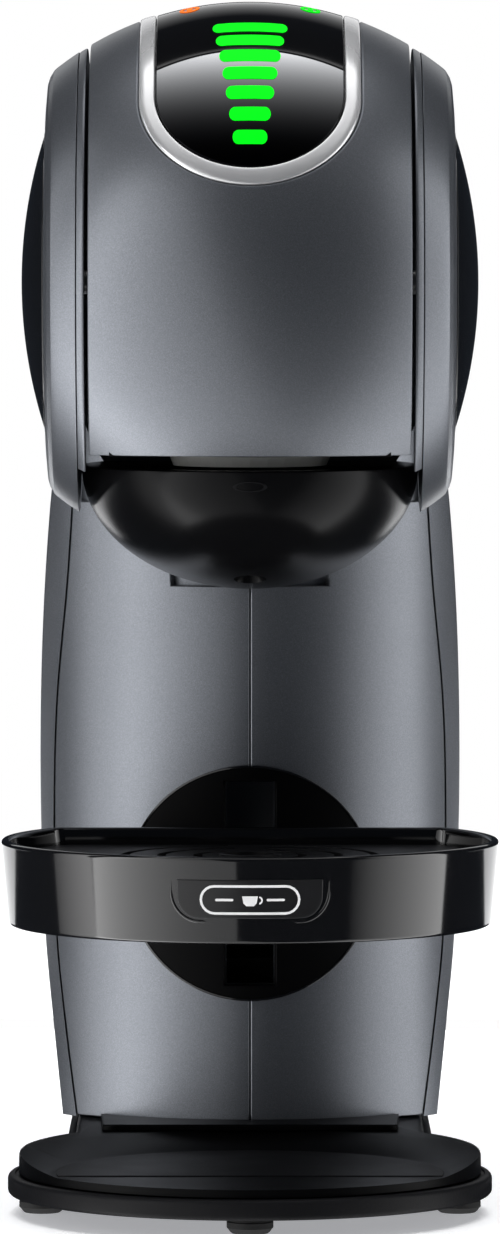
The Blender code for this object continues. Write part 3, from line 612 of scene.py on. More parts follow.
# Head
def head_ring(name, profile, side, material, turn=(0.0, 360.0), steps=180, corner_steps=5):
    """A rounded profile turned about the drum's axis, on one side of the head."""
    flipped = [(side * along, radius) for along, radius in rounded(profile, corner_steps)]
    return turned(name, flipped, DRUM_CENTRE, "X", material, *turn, steps=steps, angle=40)


def build_head():
    """The grey side bands, the ribs that the lever runs between, and the domed side caps."""
    bottom = 90 + degrees(asin((DRUM_Z - 0.184) / drum_radius(0.0413)))
    rise, cap_radius, cap_top = 0.0061, 0.0376, 0.057
    dome = (cap_radius**2 + rise**2) / (2 * rise)
    for word, side in SIDES:
        crown = [(x, drum_radius(x), 0) for x in spread(0.0428, 0.048, 6)]
        band = [(0.0425, drum_radius(0.0425) - 0.0006, 0.0003), (0.0425, drum_radius(0.0425), 0.0004)] + crown
        band += mm((48.7, 52.85, 1), (49.7, 51.2, 1.6), (50.2, 49.6, 1), (50.6, 45, 0))
        band += mm((50.8, 38.5, 0.4), (48.3, 38.2, 0.2), (48.3, 47.8, 0))
        band += [(0.0462, drum_radius(0.0462) - 0.0028, 0), (0.0425, drum_radius(0.0425) - 0.0028, 0)]
        ring = head_ring(f"side_band_{word}_ring", band, side, PAINT)
        place(ring, "machine_body", f"side_band_{word}", slot="grey_paint")

        rib = [(0.0403, drum_radius(0.0403) - 0.003, 0), (0.0403, drum_radius(0.0403) - 0.0002, 0.0005)]
        rib += [(0.0423, drum_radius(0.0423) - 0.0002, 0.0003), (0.0423, drum_radius(0.0423) - 0.003, 0)]
        place(head_ring(f"side_rib_{word}", rib, side, PAINT, (bottom, -bottom - 82), 120, 4), "machine_body")

        cap = [(0.049, 0.0, 0), (0.049, cap_radius, 0), (0.0512, cap_radius, 0.0006)]
        for r in spread(cap_radius - 0.0006, 0.0, 28):
            cap.append((cap_top - dome + sqrt(dome**2 - r**2), r, 0))
        disc = head_ring(f"side_cap_{word}_dome", cap, side, GLOSS, steps=128)
        place(disc, "machine_body", f"side_cap_{word}", slot="gloss_black")


def holder_surface(point):
    """How far a point is from the capsule holder's outer bowl, and the bowl's normal there."""
    a, b, c = HOLDER_AXES
    x, y, z = point.x, point.y - DRUM_Y, point.z - HOLDER_TOP
    value = (x / a) ** 2 + (y / b) ** 2 + (z / c) ** 2
    normal = Vector((x / a**2, y / b**2, z / c**2))
    return (value - 1.0) * 0.5 * c, normal.normalized()


def build_holder():
    """A bowl-shaped drawer with a rolled top edge, a flat back and a round well for the capsule."""
    a, b, c = HOLDER_AXES
    last = acos(0.0007 / c)
    sections = [(sin(last * i / 26), HOLDER_TOP - c * cos(last * i / 26)) for i in range(1, 27)]
    sections += [(0.9985, HOLDER_TOP - 0.0003), (0.993, HOLDER_TOP - 0.0001), (0.985, HOLDER_TOP)]
    turns = [tau * k / 128 for k in range(128)]
    rows = [[(a * wide * cos(t), DRUM_Y + b * wide * sin(t), z) for t in turns] for wide, z in sections]
    bowl = loft("capsule_holder_bowl", rows, PIANO, cap=True, angle=35)
    back = block("back_cut", (-0.06, -0.024, 0.14), (0.06, 0.03, 0.2), PIANO)
    profile = mm((0, 0), (0, 10.5), (8.1, 24.5), (30, 24.5), (30, 0))
    well = turned("well", profile, (0, TRAY_Y, 0.164), "Z", PIANO, steps=72)
    bowl = boolean(bowl, back, well, rod("spout", 0.004, 0, 0.02, (0, TRAY_Y, 0.15), "Z", PIANO))
    true_normals(bowl, holder_surface, 2e-5)
    place(bowl, "capsule_drawer", "capsule_holder", slot="gloss_black")

    def front(u, v):
        depth = b * sqrt(1 - (u / a) ** 2 - ((v - HOLDER_TOP) / c) ** 2)
        spot = Vector((u, DRUM_Y - depth, v))
        return spot, holder_surface(spot)[1]

    ring, hole = (oval(0, 0.1808, radius, 0.3, 350, 36) for radius in (0.0042, 0.0034))
    mark = panel("capsule_holder_dimple", ring, front, SATIN, 0.0001, 0.00005, 0.0008, 0.00015, [hole])
    place(mark, "capsule_drawer")


# Column
BODY_WIDTHS = [
    (0.048, 0.0162), (0.0505, 0.04), (0.0524, 0.059), (0.0536, 0.085), (0.0539, 0.112), (0.0529, 0.148),
    (0.0514, 0.17), (0.05, 0.185), (0.0478, 0.225), (0.0464, 0.252), (0.045, 0.262),
]  # fmt: skip
COVER_WIDTHS = [
    (0.0442, 0.0162), (0.047, 0.038), (0.0494, 0.061), (0.0501, 0.09), (0.0495, 0.12), (0.0463, 0.157),
    (0.0452, 0.174),
]  # fmt: skip


def width_at(table, z):
    """A smooth width between the heights of a table."""
    widths, heights = [w for w, _ in table], [h for _, h in table]
    slopes = np.gradient(widths, heights)
    i = min(max(int(np.searchsorted(heights, z)) - 1, 0), len(table) - 2)
    span = heights[i + 1] - heights[i]
    t = min(max((z - heights[i]) / span, 0.0), 1.0)
    a, b = widths[i], widths[i + 1]
    return (
        a * (1 + 2 * t) * (1 - t) ** 2
        + b * t * t * (3 - 2 * t)
        + span * (slopes[i] * t * (1 - t) ** 2 - slopes[i + 1] * t * t * (1 - t))
    )


def column_y(x, radius=COLUMN_RADIUS):
    return COLUMN_Y - sqrt(radius**2 - x**2)


def cover_top(x):
    """The height where the front cover meets the underside of the head, or the capsule drawer."""
    y = column_y(x)
    reach = (drum_radius(x) + 0.001) ** 2 - (y - DRUM_Y) ** 2
    top = DRUM_Z - sqrt(reach)
    if y < -0.0234:
        top = min(top, 0.153)
    return min(top, 0.1738)


def build_column():
    for word, side in SIDES:
        zs = spread(0.0166, 0.1738, 60)
        edge = [(COLUMN_RADIUS * asin(width_at(COVER_WIDTHS, z) / COLUMN_RADIUS), z) for z in zs]
        keep = [p for p in edge if p[1] < cover_top(COLUMN_RADIUS * sin(p[0] / COLUMN_RADIUS)) - 0.0003]
        across = spread(keep[-1][0], 0.00016, 60)
        top = [(u, cover_top(COLUMN_RADIUS * sin(u / COLUMN_RADIUS))) for u in across]
        slot = mm((6.2, 103.6), (6.2, 52))
        outline = keep + top + [(0.00016, 0.1036), *slot, (0.00016, 0.052), (0.00016, 0.0166)]
        outline = [(side * u, v) for u, v in outline]
        cover = panel(f"column_cover_{word}", outline, column_surface, PAINT, 0.0024, 0.0004, 0.0024)
        place(cover, "machine_body", f"column_front_{word}", slot="grey_paint")
    build_housing()


def housing_section(z, inset):
    """A level cut of the rear housing: recessed behind the front covers, then round the sides and back."""
    wide = width_at(BODY_WIDTHS, z) - inset
    cover = min(width_at(COVER_WIDTHS, min(z, 0.174)), wide - 0.001) + 0.0003
    corner, back = 0.009, 0.056 - inset

    def around(radius, first, last, count):
        turns = spread(asin(first / radius), asin(last / radius), count)
        return [(radius * sin(t), COLUMN_Y - radius * cos(t)) for t in turns]

    outer = COLUMN_RADIUS - inset
    right = around(outer - 0.003, 0.0, cover, 30) + around(outer, cover, wide, 8)
    right += [(wide, y) for y in spread(right[-1][1] + 0.004, back - corner, 8)]
    right += arc((wide - corner, back - corner), corner, 0, 90, 8)[1:]
    right += [(x, back) for x in spread(wide - corner, 0, 6)][1:]
    return right + [(-x, y) for x, y in right[::-1]][1:-1]


def build_housing():
    """The hollow rear shell, cut free of the drum, the capsule drawer and the tray's bracket."""
    rows = [[(x, y, z) for x, y in housing_section(z, 0.0)] for z in spread(0.0162, 0.256, 70)]
    for k in range(1, 8):
        turn, fillet = radians(90 * k / 7), 0.004
        z = 0.258 + fillet * sin(turn)
        rows.append([(x, y, z) for x, y in housing_section(0.2575, fillet * (1 - cos(turn)))])
    shell = loft("rear_housing_shell", rows, PAINT, cap=True, angle=35)
    inner = [[(x, y, z) for x, y in housing_section(z, 0.0024)] for z in spread(0.015, 0.259, 30)]
    drum = [(x, drum_radius(x) + 0.0007) for x in spread(-0.0514, 0.0514, 41)]
    drum = [(-0.0514, 0.0), *drum, (0.0514, 0.0)]
    shell = boolean(
        shell,
        loft("housing_room", inner, PAINT, cap=True),
        turned("drum_room", drum, DRUM_CENTRE, "X", PAINT, steps=160),
        block("drawer_room", (-0.0425, -0.06, 0.1532), (0.0425, -0.0234, 0.19), PAINT),
        block("bracket_room", (-0.0064, -0.06, 0.0518), (0.0064, -0.005, 0.1038), PAINT),
    )
    place(shell, "machine_body", "rear_housing", slot="grey_paint")


# Drip tray
TRAY_LOW, TRAY_TOP = 0.0716, 0.0927
TRAY_BACK = -0.0373


def tray_radius(z):
    return 0.0597 + TRAY_TAPER * (z - TRAY_LOW)


def tray_plan(radius, back, fillet=0.0035):
    """The tray's outline: a circle cut straight across the back, with rounded corners there."""
    rise = back - fillet - TRAY_Y
    across = sqrt((radius - fillet) ** 2 - rise**2)
    turn = degrees(atan2(rise, across))
    right = arc((across, back - fillet), fillet, 90, turn, 8)
    front = arc((0, TRAY_Y), radius, turn, -180 - turn, 150)[1:-1]
    left = arc((-across, back - fillet), fillet, 180 - turn, 90, 8)
    tail = [(x, back) for x in spread(-across, across, 12)][1:-1]
    return right + front + left + tail


def build_tray():
    """The tray's thin wall, rolled at the foot and the rim, with the ledge that the grid lies on."""
    wall, rim, ledge = 0.0022, 0.0008, 0.0857
    turns = [radians(a) for a in spread(0, 90, 6)]
    sections = [(TRAY_LOW + rim * (1 - cos(t)), rim * (1 - sin(t))) for t in turns]
    sections += [(z, 0.0) for z in spread(TRAY_LOW + 0.003, TRAY_TOP - 0.001, 6)]
    turns = [radians(a) for a in spread(0, 180, 11)[1:]]
    sections += [(TRAY_TOP - rim + rim * sin(t), wall / 2 * (1 - cos(t))) for t in turns]
    sections += [(0.089, wall), (ledge + 0.0003, wall), (ledge, wall + 0.0003), (ledge, wall + 0.0019)]
    sections += [(ledge - 0.0003, wall + 0.002), (0.076, wall + 0.002), (0.0742, wall + 0.0026)]
    sections += [(0.0738, wall + 0.0045)]
    rows = []
    for z, inset in sections:
        rows.append([(x, y, z) for x, y in tray_plan(tray_radius(z) - inset, TRAY_BACK - inset)])
    tray = loft("drip_tray_bowl", rows, GLOSS, cap=True, angle=40)
    boss = block("boss", (-0.013, -0.05, 0.0733), (0.013, -0.0383, 0.083), GLOSS, 0.0008)
    tray = boolean(tray, boss, operation="UNION")
    for _, side in SIDES:
        tray = boolean(tray, rod("bore", 0.0026, 0, 0.02, (side * 0.008, -0.048, MOUNT_Z), "Y", GLOSS, 24))
    true_normals(tray, tray_wall, 2e-5)
    place(tray, "drip_tray", "drip_tray", slot="gloss_black")
    build_badge()
    build_grid()


def tray_wall(point):
    """How far a point is from the tray's slightly conical outer wall, and the wall's normal."""
    out = Vector((point.x, point.y - TRAY_Y, 0))
    distance = out.length - tray_radius(point.z)
    if not TRAY_LOW + 0.0008 < point.z < TRAY_TOP - 0.0007 or out.length < 0.05:
        return 1.0, Vector((0, 0, 1))
    normal = out.normalized() + Vector((0, 0, -TRAY_TAPER))
    return distance, normal.normalized()


def tray_front(u, v):
    angle = u / 0.061
    out = Vector((sin(angle), -cos(angle), 0))
    normal = (out + Vector((0, 0, -TRAY_TAPER))).normalized()
    return Vector((0, TRAY_Y, v)) + out * tray_radius(v), normal


def slab(half, low, high, corner, top_corner=0.0002):
    """A panel outline with rounded lower corners."""
    points = arc((-half + corner, low + corner), corner, 180, 270, 10)
    points += arc((half - corner, low + corner), corner, 270, 360, 10)
    points += arc((half - top_corner, high - top_corner), top_corner, 0, 90, 3)
    return points + arc((-half + top_corner, high - top_corner), top_corner, 90, 180, 3)


def badge_print(name, outline, step=0.0008, edge=0.00003, holes=()):
    place(panel(name, outline, tray_front, PRINT, 0.0002, edge, step, 0.00045, holes), "drip_tray")


def build_badge():
    """The raised panel on the tray's front, its bead, and a plain cup sign in an oval ring."""
    outline = slab(0.0178, 0.0779, 0.0873, 0.0052)
    place(panel("tray_badge_plate", outline, tray_front, BADGE, 0.0002, 0.0003, 0.0016, 0.00035), "drip_tray")
    side, low, high, corner = 0.0194, 0.0771, 0.0868, 0.007
    path = [(-side, high), (-side, 0.0845), *arc((corner - side, low + corner), corner, 180, 270, 16)]
    path += [*arc((side - corner, low + corner), corner, 270, 360, 16), (side, 0.0845), (side, high)]
    section = [(-0.45, -0.1), (-0.38, 0.16), (-0.2, 0.28), (0.0, 0.32), (0.2, 0.28), (0.38, 0.16), (0.45, -0.1)]
    rows = []
    for i, (u, v) in enumerate(path):
        along = (Vector(path[min(len(path) - 1, i + 1)]) - Vector(path[max(0, i - 1)])).normalized()
        size = 0.001 * min(1.0, 0.25 + 0.75 * min(i, len(path) - 1 - i) / 3)
        row = []
        for offset, height in section:
            spot, normal = tray_front(u - along.y * offset * size, v + along.x * offset * size)
            row.append(spot + normal * height * size)
        rows.append(row)
    place(loft("tray_badge_bead", rows, GLOSS, cap=True, angle=60), "drip_tray")
    middle = 0.0825
    hole = bar_outline(0.0116, 0.006, middle)
    badge_print("tray_badge_ring", bar_outline(0.0122, 0.0072, middle), 0.001, holes=[hole])
    cup = [(-0.0019, middle + 0.0009), (-0.0016, middle - 0.0008), (-0.0009, middle - 0.0015)]
    badge_print("tray_badge_cup", cup + [(-x, v) for x, v in cup[::-1]])
    centre = (0.0021, middle - 0.0001)
    handle = arc(centre, 0.001, -80, 80, 10) + arc(centre, 0.0006, 80, -80, 10)
    badge_print("tray_badge_handle", handle, 0.0005, 0.00002)
    for number, (_, side) in enumerate(SIDES, 1):
        dash = [(side * 0.0062 + x, v) for x, v in bar_outline(0.0022, 0.0006, middle)]
        badge_print(f"tray_badge_dash_{number}", dash)


def build_grid():
    """A round plate with ring-shaped slots, bridged in a few places, and a finger hole with a lip."""
    low, high, centre = 0.086, 0.0885, (0, TRAY_Y)
    radius = tray_radius(low) - 0.0026
    sections = [(low, 0.0003), (low + 0.0003, 0.0)]
    sections += [(high - 0.0006, 0.0), (high - 0.0002, 0.0002), (high, 0.0006)]
    plan = []
    for z, inset in sections:
        plan.append([(x, y, z) for x, y in tray_plan(radius - inset, TRAY_BACK - 0.0026 - inset, 0.003)])
    grid = loft("drip_grid_plate", plan, SATIN, cap=True, angle=40)
    half, sweep = 0.0011, 160
    for middle, starts in ((0.013, (100, 280)), (0.022, (100, 280)), (0.031, (100, 280)), (0.04, (190,))):
        for start in starts:
            path = arc(centre, middle - half, start, start + sweep, 48)
            path += arc(centre, middle + half, start + sweep, start, 48)
            rows = [[(x, y, z) for x, y in path] for z in (low - 0.002, high + 0.002)]
            grid = boolean(grid, loft("slot", rows, SATIN, cap=True))
    grid = boolean(grid, rod("hole", 0.006, -0.002, 0.006, (*centre, low), "Z", SATIN, 48))
    place(grid, "drip_grid", "drip_grid", slot="satin_black")
    lip = mm((0, 6), (0.35, 6), (0.5, 6.4), (0.5, 7.2), (0.35, 7.6), (0, 7.8))
    place(turned("drip_grid_lip", lip, (*centre, high + 0.00001), "Z", SATIN, steps=64), "drip_grid")


def build_mount():
    """The round plate on the column, with a bright rim, that the tray's bracket slides on."""
    disc = arc((0, MOUNT_Z), 0.0299, 0, 360, 96)[:-1]

    def surface(u, v):
        y = column_y(u, COLUMN_RADIUS + 0.0003)
        return Vector((u, y, v)), Vector((u, y - COLUMN_Y, 0)).normalized()

    slot = mm((-6.2, 52), (6.2, 52), (6.2, 103.6), (-6.2, 103.6))
    plate = panel("tray_mount_plate", disc, surface, BASE_BLACK, 0.0, 0.0004, 0.0024, 0.0025, [slot])
    place(plate, "machine_body", "tray_mount", slot="satin_black")
    inner = [(u * 0.978, MOUNT_Z + (v - MOUNT_Z) * 0.978) for u, v in disc]
    place(panel("tray_mount_rim", disc, surface, GLOSS, 0.0, 0.0002, 0.0016, 0.0027, [inner]), "machine_body")


# Base
def base_plan(inset):
    radius, half, corner = 0.06 - inset, 0.047 - inset, 0.022
    reach = degrees(acos(half / radius))
    front = arc((0, -0.0765), radius, 180 - reach, 360 + reach, 150)
    right = arc((half - corner, 0.133 - inset - corner), corner, 0, 90, 16)
    left = arc((corner - half, 0.133 - inset - corner), corner, 90, 180, 16)
    return front + right + left


def plan_loft(name, plan, sections, material, angle=35):
    """A closed skin over level outlines: sections are (height, inset), and plan(inset) gives the outline."""
    rows = [[(x, y, z) for x, y in plan(inset)] for z, inset in sections]
    return loft(name, rows, material, cap=True, angle=angle)


def flat_at(z):
    return lambda u, v: (Vector((u, v, z)), Vector((0, 0, 1)))


def build_base():
    """The foot's band and cover with its shallow dish and pad, the step before the column, and five feet."""
    notch = ((0.0195, 0.124, 0.003), (0.0305, 0.14, 0.025))
    sections = mm((4.9, 1.2), (5.1, 0.5), (5.6, 0.1), (6.2, 0), (8.8, 0), (9.4, 0.2))
    sections += mm((9.8, 0.6), (10, 1.3), (10, 1.8), (9.6, 2), (9.6, 3))
    band = boolean(plan_loft("base_band_ring", base_plan, sections, SATIN, 50), block("notch", *notch, SATIN))
    place(band, "machine_body", "base_band", slot="satin_black")
    sections = mm((9.9, 4.5), (9.9, 3.1), (10.3, 2.7), (14.5, 2.8), (15.2, 3))
    sections += mm((15.7, 3.5), (15.9, 4.2))
    cover = plan_loft("base_cover_top", base_plan, sections, BASE_BLACK, 50)
    dish_y, radius, rise = -0.0986, 0.0482, 0.005
    slope = (0.0615 - radius) / (0.0159 - 0.0122)
    wall = [(z, radius + z * slope) for z in (0.0, 0.0003, rise)]
    dish = [(0.0, 0.0), *wall, (rise, 0.0)]
    dish = turned("dish", dish, (0, dish_y, 0.0122), "Z", BASE_BLACK, steps=200)
    cover = boolean(cover, dish, block("notch", *notch, SATIN))
    place(cover, "machine_body", "base_cover", slot="gloss_black")
    floor = [p for p in arc((0, dish_y), 0.0476, 0, 360, 120)[:-1] if hypot(p[0], p[1] + 0.0765) < 0.0562]
    pad = panel("base_floor_pad", floor, flat_at(0.01215), SATIN, 0.0001, 0.00025, 0.004, 0.0003)
    place(pad, "machine_body")
    half, front, gap = 0.038, -0.0395, COLUMN_RADIUS + 0.0004
    end = column_y(half, gap)
    outline = [(-half, end), (0.0008 - half, front), (half - 0.0008, front), (half, end)]
    outline += [(x, column_y(x, gap)) for x in spread(0.0378, -0.0378, 41)]
    step = panel("base_tongue_step", outline, flat_at(0.0162), BASE_BLACK, 0.0, 0.0006, 0.003, 0.0014)
    place(step, "machine_body", "base_tongue", slot="satin_black")
    feet = {"front": (0.0, -0.119), "left": (-0.0515, -0.0765), "right": (0.0515, -0.0765)}
    feet.update({"rear_left": (-0.034, 0.112), "rear_right": (0.034, 0.112)})
    sole = mm((0, 0), (0, 4.4), (0.4, 4.9), (1, 5.3), (1.4, 5.7), (2.8, 5.7))
    sole += mm((3, 5.3), (3.4, 5.3), (3.6, 5.7), (4.7, 5.7), (4.7, 0))
    for word, (x, y) in feet.items():
        foot = turned(f"foot_{word}_pad", sole, (x, y, 0), "Z", RUBBER, steps=64)
        place(foot, "machine_body", f"foot_{word}", slot="rubber")


# Water tank
TANK_LOW, TANK_TOP = 0.0212, 0.24


def tank_plan(inset):
    half_x, half_y, corner = 0.0445 - inset, 0.0375 - inset, 0.026 - inset
    points = []
    for sx, sy, start in ((1, 1, 0), (-1, 1, 90), (-1, -1, 180), (1, -1, 270)):
        points += arc((sx * (half_x - corner), 0.095 + sy * (half_y - corner)), corner, start, start + 90, 16)
    return points


def build_tank():
    """The hollow tank with its fill line and ticks, its hinged lid and the valve in its floor."""
    wall, low, high = 0.0022, TANK_LOW, TANK_TOP
    sections = [(low, 0.0052), (low + 0.0004, 0.003), (low + 0.0013, 0.0013), (low + 0.003, 0.0003)]
    sections += [(low + 0.0052, 0.0)] + [(z, 0.0) for z in spread(0.04, 0.22, 4)]
    sections += [(high - 0.0008, 0.0), (high - 0.0002, 0.0003), (high, 0.0008), (high, wall - 0.0005)]
    sections += [(high - 0.0004, wall), (0.03, wall), (0.0262, wall + 0.001), (0.024, wall + 0.003)]
    sections += [(low + wall, wall + 0.006)]
    tank = plan_loft("water_tank_shell", tank_plan, sections, SMOKE, 50)
    tank = boolean(tank, rod("bore", 0.0034, 0, 0.03, (0, 0.096, 0.01), "Z", SMOKE))
    place(tank, "water_tank", "water_tank", slot="smoke")
    bead = mm((226.2, 2.4), (226.6, 3), (227.4, 3), (227.8, 2.4), (227.8, 2), (226.2, 2))
    rows = [[(x, y, z) for x, y in tank_plan(inset)] for z, inset in bead + bead[:1]]
    place(loft("water_tank_fill_line", rows, SATIN), "water_tank")
    for i, z in enumerate((0.065, 0.105, 0.145, 0.185), 1):
        low, high = (-0.006, 0.1299, z - 0.0005), (0.006, 0.1305, z + 0.0005)
        place(block(f"water_tank_tick_{i}", low, high, SATIN, 0.0002), "water_tank")
    sections = mm((238.8, 4.6), (239, 4.2), (240.2, 4.2), (240.3, 0.4), (240.5, -0.2))
    sections += mm((240.9, -0.4), (245.5, -0.4))
    sections += [(0.2455 + 0.0035 * sin(t), -0.0004 + 0.004 * (1 - cos(t))) for t in spread(0.2, 1.5, 8)]
    sections += mm((249, 5), (249, 8), (248.7, 8.6), (248.4, 10))
    lid = plan_loft("tank_lid_cover", tank_plan, sections, SATIN, 40)
    scoop = mm((-20, 0), (-20, 4), (-17, 5.8), (17, 5.8), (20, 4), (20, 0))
    lid = boolean(lid, turned("scoop", scoop, (0, 0.0615, 0.2515), "X", SATIN, steps=64))
    place(lid, "tank_lid", "tank_lid", slot="satin_black")
    for word, side in SIDES:
        low, high = side * 0.012, side * 0.02
        place(rod(f"tank_lid_lug_{word}", 0.0014, low, high, (0, 0.1312, 0.2422), "X", SATIN, 24), "tank_lid")
    stem = mm((18.2, 0), (18.2, 2), (18.8, 2.6), (24, 2.6), (24, 6.2), (24.3, 6.5))
    stem += mm((25, 6.5), (25.8, 4.5), (26.1, 2), (26.1, 0))
    valve = turned("tank_valve_plug", stem, (0, 0.096, 0), "Z", SILICONE, steps=48)
    place(valve, "tank_valve", "tank_valve", slot="silicone")


def build_gland():
    """The moulded grommet where a mains cord would leave the base."""
    gland = block("cord_gland_body", (0.02, 0.1245, 0.0104), (0.03, 0.132, 0.019), RUBBER, 0.0012)
    place(gland, "machine_body", "cord_gland", slot="rubber")
    nose = mm((0, 0), (0, 3.6), (1.2, 3.6), (1.4, 2.9), (2.2, 2.9), (2.4, 3.4))
    nose += mm((3.4, 3.4), (3.6, 2.7), (4.6, 2.6), (4.8, 2.2), (4.8, 1.7))
    nose += mm((3, 1.7), (3, 0))
    place(turned("cord_gland_nose", nose, (0.025, 0.1317, 0.0147), "Y", RUBBER, steps=40), "machine_body")


def build_bracket():
    """The bracket that slides in the column's slot and carries the tray on two pegs."""
    low, high = 0.0708, 0.0848
    plate = block("tray_bracket_plate", (-0.015, -0.037, low), (0.015, -0.0303, high), SATIN, 0.0008, 2)
    place(plate, "tray_carrier", "tray_bracket", slot="satin_black")
    for word, half, front, back in (("tongue", 0.0057, -0.032, -0.021), ("flange", 0.0095, -0.0232, -0.0208)):
        made = block(f"tray_bracket_{word}", (-half, front, low), (half, back, high), SATIN, 0.0004)
        place(made, "tray_carrier")
    peg = mm((0, 0), (0, 1.6), (0.8, 2.3), (12, 2.3), (12, 0))
    for word, side in SIDES:
        centre = (side * 0.008, -0.047, MOUNT_Z)
        place(turned(f"tray_bracket_peg_{word}", peg, centre, "Y", SATIN, steps=32), "tray_carrier")


def build_chassis():
    """The fixed inner drum under the lever: its curved skin, side walls and the floor above the capsule."""
    half = 0.0363
    skin = [(x, drum_radius(x) - 0.0057) for x in spread(-half, half, 15)]
    skin += [(x, drum_radius(x) - 0.0079) for x in spread(half, -half, 15)]
    shell = turned("head_chassis_skin", skin, DRUM_CENTRE, "X", SATIN, 136, -218, 130, 40)
    shell = boolean(shell, block("trim", (-0.06, -0.2, 0.1), (0.06, -0.02, 0.188), SATIN))
    place(shell, "machine_body", "head_chassis", slot="satin_black")
    outline = [(-y, z) for y, z in arc((0, 0), drum_radius(half) - 0.0061, -36, 172, 90)]
    outline += mm((24, -30), (6, -42))
    for word, side in SIDES:
        rows = [[(side * x, DRUM_Y + y, DRUM_Z + z) for y, z in outline] for x in (0.034, 0.0362)]
        wall = loft(f"head_chassis_wall_{word}", rows, SATIN, cap=True)
        bore = rod("bore", 0.0043, side * 0.03, side * 0.04, DRUM_CENTRE, "X", SATIN)
        place(boolean(wall, bore), "machine_body")
    floor = block("head_chassis_floor", (-0.0345, -0.0965, 0.188), (0.0345, -0.044, 0.1902), SATIN)
    place(boolean(floor, rod("hole", 0.021, 0, 0.02, (0, TRAY_Y, 0.18), "Z", SATIN, 72)), "machine_body")


def dress_cad_nodes():
    """Finishes for the CAD parts that show as they are."""
    finishes = {
        STEEL: "base_screw_1 base_screw_2 base_screw_3 base_screw_4 pivot_pin_left pivot_pin_right inner_frame "
        "piercing_needle",
        RUBBER: "pump_mount_front pump_mount_rear",
        SILICONE: "tank_seal flow_meter inlet_hose pressure_hose brew_hose plate_seal",
        SATIN: "tank_seat water_pump needle_plate lever_frame",
        BOARD: "control_board power_board touch_board",
        CAST: "thermoblock",
    }
    for made, names in finishes.items():
        for name in names.split():
            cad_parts[name].material_slots[0].material = made


build_lever()
build_head()
build_holder()
build_column()
build_tray()
build_mount()
build_base()
build_tank()
build_gland()
build_bracket()
build_chassis()
dress_cad_nodes()


# Stage and camera
def build_camera():
    camera = add_object("camera", bpy.data.cameras.new("camera"))
    camera.data.lens = 248.2
    camera.data.sensor_width = 36.0
    camera.data.clip_end = 30.0
    camera.location = (0.0, -2.176, 0.2543)
    camera.rotation_euler = (radians(90 - 2.907), 0, 0)
    bpy.context.scene.camera = camera


def build_floor():
    """A pale round floor. Only its rear part shows in the machine's reflections."""
    values = {"Roughness": 0.8, "Emission Color": (0.95, 0.96, 1.0, 1.0), "Emission Strength": 0.35}
    made, tree, shader = new_material("pale_floor", values)
    tint(tree, shader, ramp(tree, noise(tree, 3.0), 0.0, 1.0), (0.88, 0.88, 0.88), (0.9, 0.9, 0.9))
    radius, split = 1.0, 0.26
    turn = degrees(asin(split / radius))
    for name, start, end in (("floor_front", 180 - turn, 360 + turn), ("floor_rear", turn, 180 - turn)):
        points = [(x, y, 0.0) for x, y in arc((0, 0.14), radius, start, end, 90)]
        floor = make_object(name, points, [tuple(range(90))], made, smooth=False)
        floor.visible_shadow = False
        floor.visible_glossy = name == "floor_rear"


def area_light(name, width, height, power):
    data = bpy.data.lights.new(name, "AREA")
    data.shape = "RECTANGLE"
    data.size, data.size_y = width, height
    data.energy = power
    return add_object(name, data)


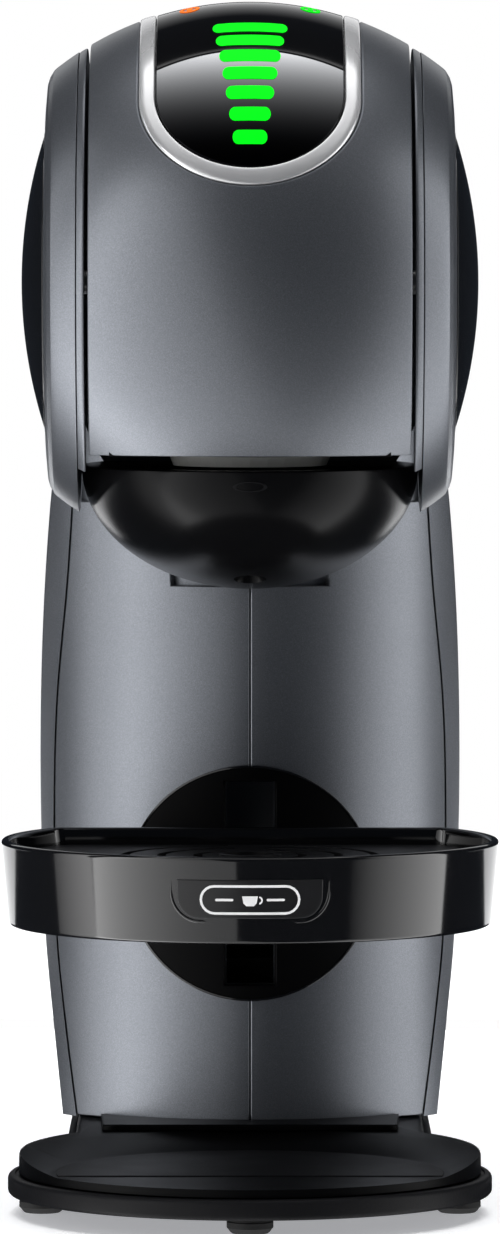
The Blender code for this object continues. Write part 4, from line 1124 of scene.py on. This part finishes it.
def soft_box(name, bright_edge, dark_edge, width, radiance, power, tail=0.0, fade=0.0):
    """An area light between two edges, brightest at the first and down to the tail's share at the second.

    fade is the share of its width, at the upper end, over which it also dies away."""
    span = bright_edge - dark_edge
    middle = (bright_edge + dark_edge) / 2
    up = span.normalized()
    back = (middle - Vector(DRUM_CENTRE)).normalized()
    back = (back - up * back.dot(up)).normalized()
    side = up.cross(back)
    light = area_light(name, width, span.length, radiance * pi * width * span.length)
    light.matrix_world = Matrix.Translation(middle) @ Matrix((side, up, back)).transposed().to_4x4()
    light.data.use_nodes = True
    tree = light.data.node_tree
    spot = tree.nodes.new("ShaderNodeNewGeometry")
    split = tree.nodes.new("ShaderNodeSeparateXYZ")
    tree.links.new(spot.outputs["Parametric"], split.inputs["Vector"])
    curve = calculate(tree, "POWER", split.outputs["Y"], float(power))
    strength = ramp(tree, curve, tail, 1.0, 0.0, 1.0)
    if fade:
        start, end = (1 - fade, 1.0) if side.z > 0 else (fade, 0.0)
        strength = calculate(tree, "MULTIPLY", strength, ramp(tree, split.outputs["X"], 1.0, 0.0, start, end))
    tree.links.new(strength, tree.nodes["Emission"].inputs["Strength"])


def toward(azimuth, elevation, distance, height):
    """A point in a direction from the machine's middle: azimuth runs from the front towards +X."""
    a, e = radians(azimuth), radians(elevation)
    return Vector((0, DRUM_Y, height)) + distance * Vector((sin(a) * cos(e), -cos(a) * cos(e), sin(e)))


def build_lights():
    """A dim sky that is white to the camera, graded panels overhead and tall ones at the sides."""
    world = bpy.data.worlds.new("studio")
    bpy.context.scene.world = world
    world.use_nodes = True
    tree = world.node_tree
    fill = tree.nodes["Background"]
    fill.inputs["Color"].default_value = (0.62, 0.76, 1.0, 1)
    fill.inputs["Strength"].default_value = 0.022
    kinds = ("Background", "LightPath", "MixShader")
    white, ray, mix = (tree.nodes.new(f"ShaderNode{kind}") for kind in kinds)
    white.inputs["Color"].default_value = (1, 1, 1, 1)
    tree.links.new(ray.outputs["Is Camera Ray"], mix.inputs[0])
    tree.links.new(fill.outputs[0], mix.inputs[1])
    tree.links.new(white.outputs[0], mix.inputs[2])
    tree.links.new(mix.outputs[0], tree.nodes["World Output"].inputs["Surface"])
    bpy.context.scene.view_settings.view_transform = "Standard"
    for name, bright, dark, width, radiance, power in (
        ("top", 110, 46, 1.15, 1.6, 1.6),
        ("back_top", 168, 140, 1.3, 0.9, 1.0),
    ):
        edges = (toward(0, elevation, 1.3, DRUM_Z) for elevation in (bright, dark))
        soft_box(name, *edges, width, radiance, power)
    for name, bright, dark, distance, radiance, power, tail in (
        ("key_left", -79, -4, 1.3, 3.0, 2.2, 0.16),
        ("side_left", -76, -102, 1.34, 1.9, 1.0, 0.2),
        ("fill_right", 104, 44, 1.3, 2.3, 1.0, 0.0),
    ):
        edges = (toward(azimuth, 0, distance, -0.4) for azimuth in (bright, dark))
        soft_box(name, *edges, 9.0, radiance, power, tail, 0.08)
    wash = area_light("floor_wash", 2.6, 2.6, 80)
    wash.location = (0, 0.5, 2.2)
    wash.visible_glossy = False


build_camera()
build_floor()
build_lights()
